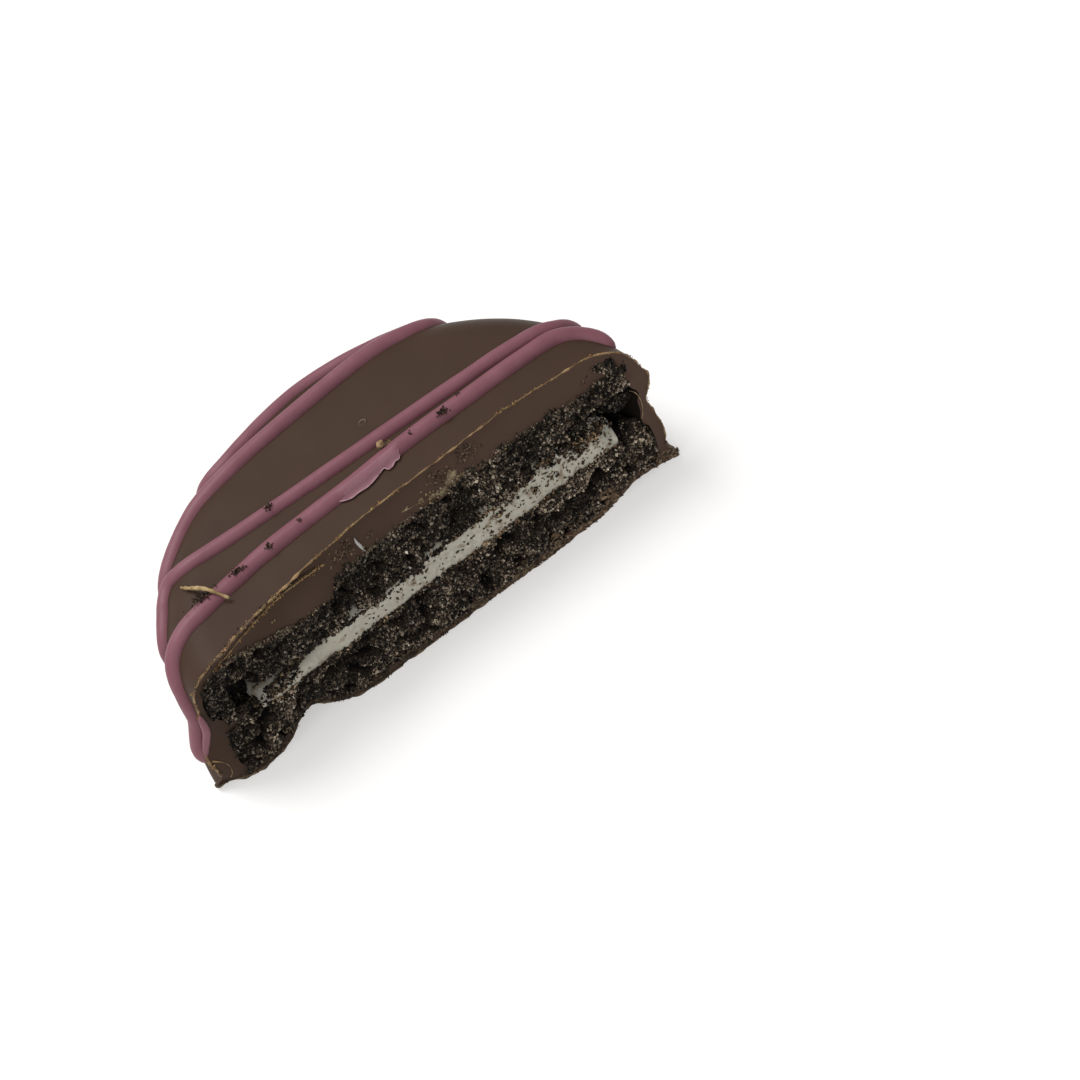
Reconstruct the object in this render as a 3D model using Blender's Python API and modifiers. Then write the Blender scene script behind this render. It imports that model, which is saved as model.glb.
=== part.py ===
"""Half of a chocolate sandwich cookie, broken across by hand and lying on its base.

Two dark wafers with a white cream filling between them are dipped in chocolate,
and thick lines of pink icing are drizzled over the top. The break faces -Y.
Metres, +Z up, the origin under the middle of the half.
"""
import math

import bmesh
import bpy
import numpy as np
from mathutils import Matrix, Vector, noise

MM = 0.001

# The whole cookie is a disc; its axis stands here, in front of the half's middle.
DISC_CENTRE = (0.4 * MM, -12.8 * MM)
BREAK_LINE = 2.5 * MM
COOKIE_HEIGHT = 14.35 * MM
TOP_CROWN = 0.2 * MM
SIDE_RADIUS = 23.75 * MM
SHOULDER_REACH = 4.0 * MM
SHOULDER_HEIGHT = 10.8 * MM
SHOULDER_STEPS = 8
# Share of the flat top's radius at which the profile has a point
CROWN_SHARES = (0.0, 0.35, 0.65, 0.85, 1.0)
# The cookie is a slight wedge, thicker at its right end
WEDGE = 0.029
# What the side wall stands outside or inside SIDE_RADIUS, against height, down to the foot
SIDE_WAVE = ((-0.03, 9.6), (-0.18, 8.5), (-0.25, 7.6), (-0.10, 6.7), (0.08, 5.6), (0.24, 4.4),
             (0.14, 3.1), (-0.05, 2.1), (0.10, 1.4), (0.62, 0.7), (0.72, 0.35), (0.62, 0.0))
FOOT_RADIUS = 24.0 * MM
# The waist between the wafers is deeper at the right end
WAIST_HEIGHT = 7.5 * MM
WAIST_SPAN = 1.6 * MM
WAIST_EXTRA = 0.22 * MM
# The shoulder is fuller at the right end
SWELL = 0.80 * MM
SWELL_HEIGHT = 12.6 * MM
SWELL_SPAN = 1.9 * MM
SWELL_TURN = 0.55
# The outline is not quite round: share of the radius, by waves round the disc
PLAN_WAVES = ((2, 0.0019, 0.0037), (3, -0.0130, 0.0155))

# Layers, from the base up, each with half the joint's gap taken off each side
JOINT_GAP = 0.30 * MM
BASE_COAT = 1.0 * MM
LOWER_WAFER = 3.9 * MM
CREAM_LAYER = 2.9 * MM
UPPER_WAFER = 4.1 * MM
WAFER_RADIUS = 22.6 * MM
WAFER_EDGE = 1.0 * MM
LOWER_WAFER_CENTRE = (0.0 * MM, -0.5 * MM)
UPPER_WAFER_CENTRE = (-0.5 * MM, -0.5 * MM)
CAVITY_WAIST = 0.55 * MM
# Share of the cream layer's height over which the hollow is narrow
CAVITY_WAIST_SPAN = (0.35, 0.65)
CAVITY_OVERLAP = 0.2 * MM
CREAM_RADIUS = 18.4 * MM
CREAM_CENTRE = (0.9 * MM, -0.3 * MM)
CREAM_BULGE = 0.35 * MM
CREAM_EDGE = (0.5 * MM, 0.35 * MM)
CREAM_WAVES = ((3, 0.012, 0.014), (5, 0.010, -0.008), (8, 0.006, 0.006))

# How far the break leans back from BREAK_LINE, against height
LEAN = ((0.0, -0.8), (1.0, -0.7), (4.9, 0.6), (7.8, 0.9), (11.9, 1.5), (14.2, 3.8))
RIM_LEVELS = (11.9, 14.2)
RIM_RISE = 4.0
HALF_WIDTH = 24.0 * MM
RIM_BOW_RIGHT = 0.76
RIM_BOW_LEFT = 0.92
# Chips and ridges of the break: place along it, height, half-widths, depth into the half
CHIPS = ((-15.0, 0.0, 2.6, 2.2, 2.3), (20.5, 0.4, 4.0, 2.2, 1.1), (-11.4, 11.9, 3.0, 2.4, -1.4),
         (-23.5, 11.0, 2.5, 3.0, -1.0), (13.0, 8.6, 3.0, 1.8, 0.9), (-7.0, 7.8, 5.0, 1.5, -0.6))
# Relief of the broken faces: size of the lumps and their depth
CRUMB_RELIEF = ((2.6 * MM, 0.34 * MM), (1.1 * MM, 0.22 * MM))
CREAM_RELIEF = ((2.8 * MM, 0.22 * MM), (1.2 * MM, 0.08 * MM))
COAT_RELIEF = ((3.4 * MM, 0.16 * MM),)

# Drizzle: routes on the coat rolled out flat about the disc's axis, so a route that runs
# past the shoulder goes on down the side
DRIZZLE_RADIUS = 0.97 * MM
DRIZZLE_SINK = 0.18 * MM
DRIZZLE_STEP = 1.4 * MM
# Share of the bead's radius at the ends of a line
DRIZZLE_TIP = (0.70, 0.96)
DRIZZLE_ROUTES = {
    "back_line": ((-16.8, 26.6), (-14.6, 24.4), (-12.2, 22.0), (-9.6, 20.8), (-6.6, 21.3), (-3.8, 21.9),
                  (0.8, 22.4), (4.7, 21.7), (8.5, 20.3), (11.0, 19.6), (12.7, 20.6), (13.9, 23.0),
                  (14.6, 25.6)),
    "second_line": ((-23.8, 16.4), (-20.4, 15.2), (-17.7, 15.7), (-14.6, 17.5), (-11.7, 19.1),
                    (-8.6, 19.4), (-4.5, 19.4), (-0.7, 19.3), (3.8, 19.3), (7.6, 18.7), (11.2, 17.9),
                    (13.2, 17.9), (15.2, 19.4), (17.2, 22.2), (19.0, 25.2)),
    "third_line": ((-26.2, 10.2), (-23.2, 9.6), (-21.0, 10.6), (-20.0, 12.4), (-18.0, 13.1),
                   (-15.4, 12.5), (-9.0, 12.3), (-4.4, 12.1), (2.1, 10.9), (9.0, 10.0), (15.8, 9.5),
                   (19.6, 10.0), (22.8, 10.9), (26.2, 12.2), (29.8, 13.6)),
    "front_line": ((-33.4, 5.3), (-30.4, 5.0), (-27.2, 5.0), (-24.4, 5.6), (-21.8, 6.8), (-19.3, 7.5),
                   (-16.2, 7.8), (-10.2, 8.3), (-3.3, 8.5), (4.2, 8.4), (11.3, 8.4), (18.0, 8.7),
                   (20.0, 8.3), (21.4, 7.3), (22.5, 6.1)),
    "left_drip": ((-24.6, 2.9), (-27.2, 3.1), (-30.4, 3.7), (-33.0, 4.4)),
}

TURN_STEPS = 120
WAFER_STEPS = 96
CAVITY_STEPS = 72
BREAK_CELL = 0.48 * MM
SHARP_ANGLE = 40.0
CREAM_BREAK_CELL = 0.58 * MM
COAT_BREAK_CELL = 0.75 * MM
CUTTER_REACH = 27.0 * MM
CUTTER_FRONT = -30.0 * MM
CUTTER_LOW = -1.2 * MM
CUTTER_HIGH = 16.2 * MM
MERGE = 0.00001
PROBE = 0.3 * MM

CHOCOLATE = (0.070, 0.042, 0.032)
ICING = (0.250, 0.095, 0.130)
WAFER_CRUMB = (0.016, 0.013, 0.011)
CREAM_WHITE = (0.42, 0.41, 0.36)


def clear_scene():
    for obj in list(bpy.data.objects):
        bpy.data.objects.remove(obj, do_unlink=True)


def new_collection(name):
    collection = bpy.data.collections.new(name)
    bpy.context.scene.collection.children.link(collection)
    return collection


def add_object(name, mesh, collection):
    obj = bpy.data.objects.new(name, mesh)
    collection.objects.link(obj)
    return obj


def finish(name, colour, roughness):
    material = bpy.data.materials.new(name)
    material.use_nodes = True
    shader = material.node_tree.nodes["Principled BSDF"]
    shader.inputs["Base Color"].default_value = (*colour, 1.0)
    shader.inputs["Roughness"].default_value = roughness
    shader.inputs["Metallic"].default_value = 0.0
    material.diffuse_color = (*colour, 1.0)
    return material


def baked(obj):
    """Puts an object's evaluated shape in the place of its mesh and modifiers."""
    depsgraph = bpy.context.evaluated_depsgraph_get()
    mesh = bpy.data.meshes.new_from_object(obj.evaluated_get(depsgraph), depsgraph=depsgraph)
    obj.modifiers.clear()
    obj.data = mesh
    return obj


def turned(name, profile, steps, collection):
    """Turns a profile about the disc's axis; it runs from the axis, out and down."""
    mesh = bpy.data.meshes.new(name)
    edges = [(i, i + 1) for i in range(len(profile) - 1)]
    mesh.from_pydata([(radius, 0.0, height) for radius, height in profile], edges, [])
    obj = add_object(name, mesh, collection)
    screw = obj.modifiers.new("turn", "SCREW")
    screw.steps = steps
    screw.render_steps = steps
    screw.use_merge_vertices = True
    screw.merge_threshold = MERGE
    return baked(obj)


def wavy_radius(radius, angle, waves):
    """Radius at an angle round the disc, with the waves of an outline that is not round."""
    waved = sum(c * math.cos(n * angle) + s * math.sin(n * angle) for n, c, s in waves)
    return radius * (1.0 + waved)


def coat_radius(radius, angle, height):
    """Radius of the coat's outside, with its waist and shoulder that change round the disc."""
    waist = (height - WAIST_HEIGHT) / WAIST_SPAN
    swell = (height - SWELL_HEIGHT) / SWELL_SPAN
    out = (SWELL * math.exp(-swell * swell - (angle / SWELL_TURN) ** 2)
           - WAIST_EXTRA * math.exp(-waist * waist) * (0.5 + 0.5 * math.cos(angle)))
    return wavy_radius(radius, angle, PLAN_WAVES) + out * (radius / SIDE_RADIUS) ** 4


def reshape_round(obj, shape):
    """Gives each point of a turned piece the radius that shape has for its radius, angle and height."""
    for vertex in obj.data.vertices:
        angle = math.atan2(vertex.co.y, vertex.co.x)
        radius = shape(math.hypot(vertex.co.x, vertex.co.y), angle, vertex.co.z)
        vertex.co.x = radius * math.cos(angle)
        vertex.co.y = radius * math.sin(angle)
    obj.data.update()


def make_wedge(mesh):
    """Leans everything above the base up towards the right end."""
    for vertex in mesh.vertices:
        vertex.co.z *= 1.0 + WEDGE * vertex.co.x / COOKIE_HEIGHT
    mesh.update()


def coat_profile():
    """Outer line of the coat: crowned top, round shoulder, waved side, flaring foot, flat base."""
    flat = SIDE_RADIUS - SHOULDER_REACH
    rim = COOKIE_HEIGHT - TOP_CROWN
    points = [(flat * share, COOKIE_HEIGHT - TOP_CROWN * share ** 2) for share in CROWN_SHARES]
    for step in range(1, SHOULDER_STEPS + 1):
        turn = math.pi / 2 * step / SHOULDER_STEPS
        points.append((flat + SHOULDER_REACH * math.sin(turn),
                       SHOULDER_HEIGHT + (rim - SHOULDER_HEIGHT) * math.cos(turn)))
    points += [(SIDE_RADIUS + out * MM, height * MM) for out, height in SIDE_WAVE]
    points += [(FOOT_RADIUS, 0.0), (0.0, 0.0)]
    return points


def break_depth(x, z, relief, seed):
    """Y of the broken face at a place along the break and a height, about the disc's axis."""
    heights, depths = zip(*LEAN)
    depth = float(np.interp(z / MM, heights, depths))
    rim = min(max((z / MM - RIM_LEVELS[0]) / (RIM_LEVELS[1] - RIM_LEVELS[0]), 0.0), 1.0)
    bow = RIM_BOW_RIGHT if x > 0 else RIM_BOW_LEFT
    depth -= rim * RIM_RISE * bow * (x / HALF_WIDTH) ** 2
    for place, height, half_width, half_height, chip in CHIPS:
        away = ((x / MM - place) / half_width) ** 2 + ((z / MM - height) / half_height) ** 2
        depth += chip * math.exp(-away)
    depth *= MM
    for layer, (lump, size) in enumerate(relief):
        spot = Vector((x / lump, z / lump, seed + 7.3 * layer))
        depth += size * noise.noise(spot)
    return BREAK_LINE + depth


def break_cutter(name, cell, relief, seed, collection):
    """Block that fills the side of the disc that is gone, up to the broken face."""
    columns = round(2.0 * CUTTER_REACH / cell)
    rows = round((CUTTER_HIGH - CUTTER_LOW) / cell)
    build = bmesh.new()
    bmesh.ops.create_grid(build, x_segments=columns, y_segments=rows, size=1.0)
    for vertex in build.verts:
        x = vertex.co.x * CUTTER_REACH
        z = CUTTER_LOW + (vertex.co.y + 1.0) / 2.0 * (CUTTER_HIGH - CUTTER_LOW)
        vertex.co = (x, break_depth(x, z, relief, seed), z)
    front = bmesh.ops.extrude_face_region(build, geom=build.faces[:])
    for item in front["geom"]:
        if isinstance(item, bmesh.types.BMVert):
            item.co.y = CUTTER_FRONT
    bmesh.ops.recalc_face_normals(build, faces=build.faces)
    mesh = bpy.data.meshes.new(name)
    build.to_mesh(mesh)
    build.free()
    make_wedge(mesh)
    return as_cutter(add_object(name, mesh, collection))


def as_cutter(obj):
    obj.display_type = "WIRE"
    obj.hide_render = True
    obj.location = (*DISC_CENTRE, 0.0)
    return obj


def cut(obj, cutter, name):
    boolean = obj.modifiers.new(name, "BOOLEAN")
    boolean.operation = "DIFFERENCE"
    boolean.solver = "EXACT"
    boolean.object = cutter


def profile_lengths(profile):
    """Distance along the coat's profile from the axis to each of its points."""
    steps = [math.dist(a, b) for a, b in zip(profile, profile[1:])]
    return [0.0] + list(np.cumsum(steps))


def on_coat(u, v, profile, lengths, sink):
    """Point on the coat at a place of the rolled-out coat, sunk a little where it is flat."""
    angle = math.atan2(v, u)
    along = math.hypot(u, v)
    radii, heights = zip(*profile)
    radius, beyond = np.interp((along, along + PROBE), lengths, radii)
    height, below = np.interp((along, along + PROBE), lengths, heights)
    flat = (beyond - radius) / math.hypot(beyond - radius, below - height)
    radius = coat_radius(radius, angle, height)
    return (radius * math.cos(angle), radius * math.sin(angle), height - sink * flat)


def smooth_route(points, step):
    """Catmull-Rom line through the route's points, with a point every step."""
    places = [np.array(point) for point in points]
    ends = [2 * places[0] - places[1], *places, 2 * places[-1] - places[-2]]
    line = []
    for a, b, c, d in zip(ends, ends[1:], ends[2:], ends[3:]):
        count = max(2, round(float(np.linalg.norm(c - b)) * MM / step))
        for part in range(count):
            t = part / count
            line.append(0.5 * (2 * b + (c - a) * t + (2 * a - 5 * b + 4 * c - d) * t ** 2
                               + (3 * b - a - 3 * c + d) * t ** 3))
    line.append(ends[-2])
    return line


def drizzle_line(name, route, profile, collection):
    """One piped line of icing, a round bead half sunk in the coat, made a closed mesh."""
    lengths = profile_lengths(profile)
    line = smooth_route(route, DRIZZLE_STEP)
    curve = bpy.data.curves.new(name, "CURVE")
    curve.dimensions = "3D"
    curve.bevel_depth = DRIZZLE_RADIUS
    curve.bevel_resolution = 2
    curve.use_fill_caps = True
    spline = curve.splines.new("POLY")
    spline.points.add(len(line) - 1)
    for index, (point, (u, v)) in enumerate(zip(spline.points, line)):
        point.co = (*on_coat(u * MM, v * MM, profile, lengths, DRIZZLE_SINK), 1.0)
        end = min(index, len(line) - 1 - index)
        point.radius = DRIZZLE_TIP[end] if end < len(DRIZZLE_TIP) else 1.0
    guide = add_object(name + "_guide", curve, collection)
    depsgraph = bpy.context.evaluated_depsgraph_get()
    mesh = bpy.data.meshes.new_from_object(guide.evaluated_get(depsgraph), depsgraph=depsgraph)
    build = bmesh.new()
    build.from_mesh(mesh)
    bmesh.ops.remove_doubles(build, verts=build.verts, dist=MERGE)
    bmesh.ops.recalc_face_normals(build, faces=build.faces)
    build.to_mesh(mesh)
    build.free()
    bead = add_object(name, mesh, collection)
    bead.matrix_world = guide.matrix_world
    bpy.data.objects.remove(guide, do_unlink=True)
    return bead


def fuse_drizzle(coat, profile, icing):
    """Joins all the lines of icing to the coat with one union, and removes them."""
    lines = new_collection("drizzle_lines")
    for name, route in DRIZZLE_ROUTES.items():
        drizzle_line(name, route, profile, lines).data.materials.append(icing)
    union = coat.modifiers.new("drizzle", "BOOLEAN")
    union.operation = "UNION"
    union.solver = "EXACT"
    union.operand_type = "COLLECTION"
    union.collection = lines
    union.material_mode = "TRANSFER"
    baked(coat)
    for bead in list(lines.objects):
        bpy.data.objects.remove(bead, do_unlink=True)
    bpy.data.collections.remove(lines)


def cavity_cutter(collection):
    """The hollow of the coat: wafer-wide below and above, a little narrower at the cream."""
    wide = WAFER_RADIUS + JOINT_GAP
    waist = wide - CAVITY_WAIST
    low = BASE_COAT - JOINT_GAP / 2
    seam = BASE_COAT + LOWER_WAFER
    high = seam + CREAM_LAYER + UPPER_WAFER + JOINT_GAP / 2
    narrow_low, narrow_high = (seam + share * CREAM_LAYER for share in CAVITY_WAIST_SPAN)
    profile = ((0.0, high), (wide - WAFER_EDGE, high), (wide, high - WAFER_EDGE),
               (wide, seam + CREAM_LAYER + CAVITY_OVERLAP), (waist, narrow_high),
               (waist, narrow_low), (wide, seam - CAVITY_OVERLAP), (wide, low + WAFER_EDGE),
               (wide - WAFER_EDGE, low), (0.0, low))
    obj = turned("cavity", profile, CAVITY_STEPS, collection)
    for vertex in obj.data.vertices:
        share = min(max((vertex.co.z - seam) / CREAM_LAYER, 0.0), 1.0)
        vertex.co.x += LOWER_WAFER_CENTRE[0] * (1 - share) + UPPER_WAFER_CENTRE[0] * share
        vertex.co.y += LOWER_WAFER_CENTRE[1] * (1 - share) + UPPER_WAFER_CENTRE[1] * share
    make_wedge(obj.data)
    return as_cutter(obj)


def make_coat(parts, cutters, chocolate, icing):
    profile = coat_profile()
    coat = turned("coat", profile, TURN_STEPS, parts)
    reshape_round(coat, coat_radius)
    coat.data.materials.append(chocolate)
    fuse_drizzle(coat, profile, icing)
    make_wedge(coat.data)
    coat.location = (*DISC_CENTRE, 0.0)
    cut(coat, cavity_cutter(cutters), "hollow")
    cut(coat, break_cutter("coat_break", COAT_BREAK_CELL, COAT_RELIEF, 3.1, cutters), "break")
    return coat


def make_wafer(name, floor, thickness, centre, seed, parts, cutters, crumb):
    """A round wafer with softened edges, broken off along a crumbly face."""
    build = bmesh.new()
    depth = thickness - JOINT_GAP
    bmesh.ops.create_cone(build, cap_ends=True, segments=WAFER_STEPS, radius1=WAFER_RADIUS,
                          radius2=WAFER_RADIUS, depth=depth)
    rims = [edge for edge in build.edges if abs(edge.verts[0].co.z - edge.verts[1].co.z) < MERGE]
    bmesh.ops.bevel(build, geom=rims, offset=WAFER_EDGE, segments=3, profile=0.5, affect="EDGES",
                    material=-1)
    bmesh.ops.translate(build, verts=build.verts, vec=(*centre, floor + thickness / 2))
    mesh = bpy.data.meshes.new(name)
    build.to_mesh(mesh)
    build.free()
    make_wedge(mesh)
    wafer = add_object(name, mesh, parts)
    wafer.data.materials.append(crumb)
    wafer.location = (*DISC_CENTRE, 0.0)
    cut(wafer, break_cutter(name + "_break", BREAK_CELL, CRUMB_RELIEF, seed, cutters), "break")
    return wafer


def make_cream(parts, cutters, white):
    """The filling, a flat disc that stops short of the wafers' rims and bulges at its edge."""
    low = BASE_COAT + LOWER_WAFER + JOINT_GAP / 2
    high = BASE_COAT + LOWER_WAFER + CREAM_LAYER - JOINT_GAP / 2
    middle = (low + high) / 2
    inset, drop = CREAM_EDGE
    profile = ((0.0, high), (CREAM_RADIUS - inset, high), (CREAM_RADIUS, high - drop),
               (CREAM_RADIUS + CREAM_BULGE, middle), (CREAM_RADIUS, low + drop),
               (CREAM_RADIUS - inset, low), (0.0, low))
    cream = turned("cream", profile, CAVITY_STEPS, parts)
    reshape_round(cream, lambda radius, angle, height: wavy_radius(radius, angle, CREAM_WAVES))
    cream.data.transform(Matrix.Translation((*CREAM_CENTRE, 0.0)))
    make_wedge(cream.data)
    cream.data.materials.append(white)
    cream.location = (*DISC_CENTRE, 0.0)
    cut(cream, break_cutter("cream_break", CREAM_BREAK_CELL, CREAM_RELIEF, 11.7, cutters), "break")
    return cream


def shade(obj, angle):
    obj.data.shade_smooth()
    obj.data.set_sharp_from_angle(angle=math.radians(angle))


def main():
    clear_scene()
    parts = new_collection("chocolate_sandwich_cookie")
    cutters = new_collection("cutters")
    chocolate = finish("chocolate", CHOCOLATE, 0.38)
    icing = finish("pink_icing", ICING, 0.45)
    crumb = finish("dark_wafer", WAFER_CRUMB, 0.92)
    white = finish("cream_filling", CREAM_WHITE, 0.7)
    coat = make_coat(parts, cutters, chocolate, icing)
    lower = make_wafer("wafer_bottom", BASE_COAT, LOWER_WAFER, LOWER_WAFER_CENTRE, 21.3, parts,
                       cutters, crumb)
    upper = make_wafer("wafer_top", BASE_COAT + LOWER_WAFER + CREAM_LAYER, UPPER_WAFER,
                       UPPER_WAFER_CENTRE, 34.9, parts, cutters, crumb)
    cream = make_cream(parts, cutters, white)
    for obj in (coat, lower, upper, cream):
        shade(obj, SHARP_ANGLE)


main()
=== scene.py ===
import math
import random

import bmesh
import bpy
import numpy as np
from mathutils import Euler, Matrix, Vector, noise


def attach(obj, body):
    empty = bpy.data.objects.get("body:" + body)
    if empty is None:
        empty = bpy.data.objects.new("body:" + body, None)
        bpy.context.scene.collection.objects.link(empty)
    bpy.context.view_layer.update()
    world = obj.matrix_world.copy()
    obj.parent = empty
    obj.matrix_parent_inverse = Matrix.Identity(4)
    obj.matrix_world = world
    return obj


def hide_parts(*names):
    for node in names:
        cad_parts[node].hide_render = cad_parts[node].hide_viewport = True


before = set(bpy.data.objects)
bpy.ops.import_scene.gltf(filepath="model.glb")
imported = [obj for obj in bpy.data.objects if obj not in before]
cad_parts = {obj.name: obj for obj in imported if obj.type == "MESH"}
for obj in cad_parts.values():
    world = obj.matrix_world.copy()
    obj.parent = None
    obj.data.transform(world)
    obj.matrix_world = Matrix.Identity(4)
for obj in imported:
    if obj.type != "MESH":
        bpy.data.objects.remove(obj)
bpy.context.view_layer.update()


# The lower wafer: a round biscuit, baked nearly black with cocoa, 45 mm across and 4 mm thick.
# It was broken across by hand, so its front is a face of packed grains with pits in it.
# Everything is modelled in millimetres about the axis of the whole cookie, then put in place.
MM = 0.001
DISC_CENTRE = Vector((0.4, -12.8, 0.0))
WEDGE = 0.029 / 14.35
BREAK_LINE = 2.5
# How the break leans: height, how far back
LEAN = ((0.0, -0.8), (1.0, -0.7), (4.9, 0.6), (7.8, 0.9), (11.9, 1.5), (14.2, 3.8))
RIM_LEVELS = (11.9, 14.2)
RIM_RISE = 4.0
HALF_WIDTH = 24.0
RIM_BOW_RIGHT = 0.50
RIM_BOW_LEFT = 0.92
RIM_DIP = 0.62
RIM_DIP_SPAN = (2.0, 16.0)
# Dents and bumps of the break: place, height, half-width, half-height, how far back
CHIPS = ((-15.0, 0.0, 2.6, 2.2, 2.3), (20.5, 0.4, 4.0, 2.2, 1.1), (-11.4, 11.9, 3.0, 2.4, -1.4),
         (-23.5, 11.0, 2.5, 3.0, -1.0), (13.0, 8.6, 3.0, 1.8, 0.9), (-7.0, 7.8, 5.0, 1.5, -0.6),
         (-24.8, 0.0, 1.7, 1.5, 1.2))
# Crumb is rolling lumps, each a width and a depth, under domes, each a width and a height
CRUMB_LUMPS = ((2.6, 0.40), (1.1, 0.34))
CRUMB_DOMES = ((0.78, 0.34), (0.40, 0.24), (0.21, 0.10))
DOME_TALL = (0.45, 0.55)
DOME_FALL = 1.6
PIT_SIZE = (1.25, 0.85)
PIT_EDGE = (0.10, 0.32)
PIT_DEPTH = 1.15
CRUMB_CELL = 0.10
SEAM_LOWER = 4.9
# Pockets in the lower wafer: place, height, half-width, half-height, depth
LOWER_POCKETS = ((-11.4, 4.0, 1.2, 0.5, 1.5), (-9.4, 3.3, 1.2, 0.5, 1.3), (12.5, 3.0, 2.2, 0.6, 0.6),
                 (17.5, 3.4, 1.6, 0.5, 0.5))
GRAIN_SHAPES = 9
EDGE_SHARE = 0.10
EDGE_SPREAD = 0.18
SEAM_SPREAD = 0.09
STRAY_REACH = (0.4, 1.2)
GRAIN_RADIUS = (0.040, 0.115)
GRAIN_SCALES = (0.7, 0.85, 1.0, 1.0, 1.25)
GRAIN_SQUASH = (0.65, 1.25)
GRAIN_GLOW = (0.7, 1.3)
GRAIN_SINK = 0.35
GRAIN_INSET = 0.35
PIT_BARE = 0.93
# Grains that lie deep are painted darker as painted shade: from and to where, and by how much
SUNK_SPAN = (-0.55, 0.35)
SUNK_SHADE = 0.7
LEAST_PALE = 0.35
DUST_SIZE = 2.4
DUST_LEVEL = 0.70
LOWER_WAFER = {"floor": 0.9, "top": lambda x: 4.95, "centre": (0.0, -0.5), "radius": 22.75, "edge": 1.0,
               "seed": 21.3, "pockets": LOWER_POCKETS, "strays": (SEAM_SPREAD, SEAM_SPREAD),
               "grains": 19000, "draw": 11}
# Where the crumb is paler than elsewhere: place, height, half-width, half-height, by how much.
# The last one, with a minus, is painted shade that darkens the grains in the left hollow.
DUST_AND_SHADE_PLACES = ((12.0, 4.4, 8.0, 1.2, 0.60), (20.3, 4.6, 2.2, 1.6, 0.40), (-16.5, 4.6, 3.0, 1.0, 0.35),
               (-3.0, 3.0, 9.0, 1.8, 0.22), (20.0, 12.0, 2.5, 1.2, 0.25), (14.0, 1.6, 7.0, 0.7, 0.25),
               (-4.0, 9.8, 13.0, 2.0, -0.25), (10.0, 11.0, 7.0, 1.2, 0.15), (-19.5, 7.5, 2.5, 1.6, -0.4))
# Colours of the grains, each with its share: black, dark, brown, grey-brown, pale, and a near-white one that
# is a painted highlight for a sugar glint
GRAIN_TINTS = (((0.005, 0.004, 0.003), 0.38), ((0.022, 0.016, 0.011), 0.21), ((0.068, 0.050, 0.035), 0.14),
               ((0.16, 0.125, 0.090), 0.15), ((0.28, 0.23, 0.172), 0.112), ((0.46, 0.42, 0.36), 0.008))


def smooth_step(low, high, value):
    share = min(max((value - low) / (high - low), 0.0), 1.0)
    return share * share * (3.0 - 2.0 * share)


def mound(x, z, place, power=2):
    """From 1 at a place to 0 all round it. It starts with its middle, height and half-sizes."""
    middle, height, half_width, half_height = place[:4]
    return math.exp(-((x - middle) / half_width) ** power - ((z - height) / half_height) ** power)


def rolling(x, z, lumps, seed):
    """Depth of a rolling surface at a place. Each of its lumps is a width and a depth."""
    return sum(depth * noise.noise(Vector((x / width, z / width, seed + 7.3 * layer)))
               for layer, (width, depth) in enumerate(lumps))


def broken_face(x, z):
    """Y of the broken face at a place along the break and a height."""
    depth = float(np.interp(z, *zip(*LEAN)))
    rim = min(max((z - RIM_LEVELS[0]) / (RIM_LEVELS[1] - RIM_LEVELS[0]), 0.0), 1.0)
    bow = RIM_BOW_RIGHT if x > 0 else RIM_BOW_LEFT
    dip = RIM_DIP * (1.0 - smooth_step(*RIM_DIP_SPAN, x))
    depth -= rim * (RIM_RISE * bow * (x / HALF_WIDTH) ** 2 + dip)
    for chip in CHIPS:
        depth += chip[4] * (1.0 - rim) * mound(x, z, chip)
    return BREAK_LINE + depth


def dome(x, z, size, seed):
    """Height, from 0 to 1, of a pavement of rounded grains of that size."""
    distances, points = noise.voronoi(Vector((x / size, z / size, seed)))
    tall = DOME_TALL[0] + DOME_TALL[1] * noise.cell(points[0] * 7.0)
    return tall * max(0.0, 1.0 - DOME_FALL * distances[0] ** 2)


def crumb_relief(x, z, seed, pockets=()):
    """How far a crumbly face stands back at a place, and how deep it is in one of its pits, from 0 to 1; that
    depth is also painted dark as painted shade.
    """
    depth = rolling(x, z, CRUMB_LUMPS, seed)
    depth -= sum(height * dome(x, z, size, seed) for size, height in CRUMB_DOMES)
    hollow = noise.noise(Vector((x / PIT_SIZE[0], z / PIT_SIZE[1], seed + 41.0)))
    pit_and_painted_shade = smooth_step(*PIT_EDGE, hollow)
    depth += PIT_DEPTH * pit_and_painted_shade
    for pocket in pockets:
        sunk = mound(x, z, pocket, 4)
        depth += pocket[4] * sunk
        # A pocket is painted nearly black like the pits, as painted shade.
        pit_and_painted_shade = max(pit_and_painted_shade, 0.95 * sunk)
    return depth, pit_and_painted_shade


def close_behind(build, axis, level):
    """Closes a sheet of faces to a solid: a copy of it is set at a level and joined all round."""
    made = bmesh.ops.extrude_face_region(build, geom=build.faces[:])
    for item in made["geom"]:
        if isinstance(item, bmesh.types.BMVert):
            item.co[axis] = level(item)
    bmesh.ops.recalc_face_normals(build, faces=build.faces)
    return build


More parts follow.
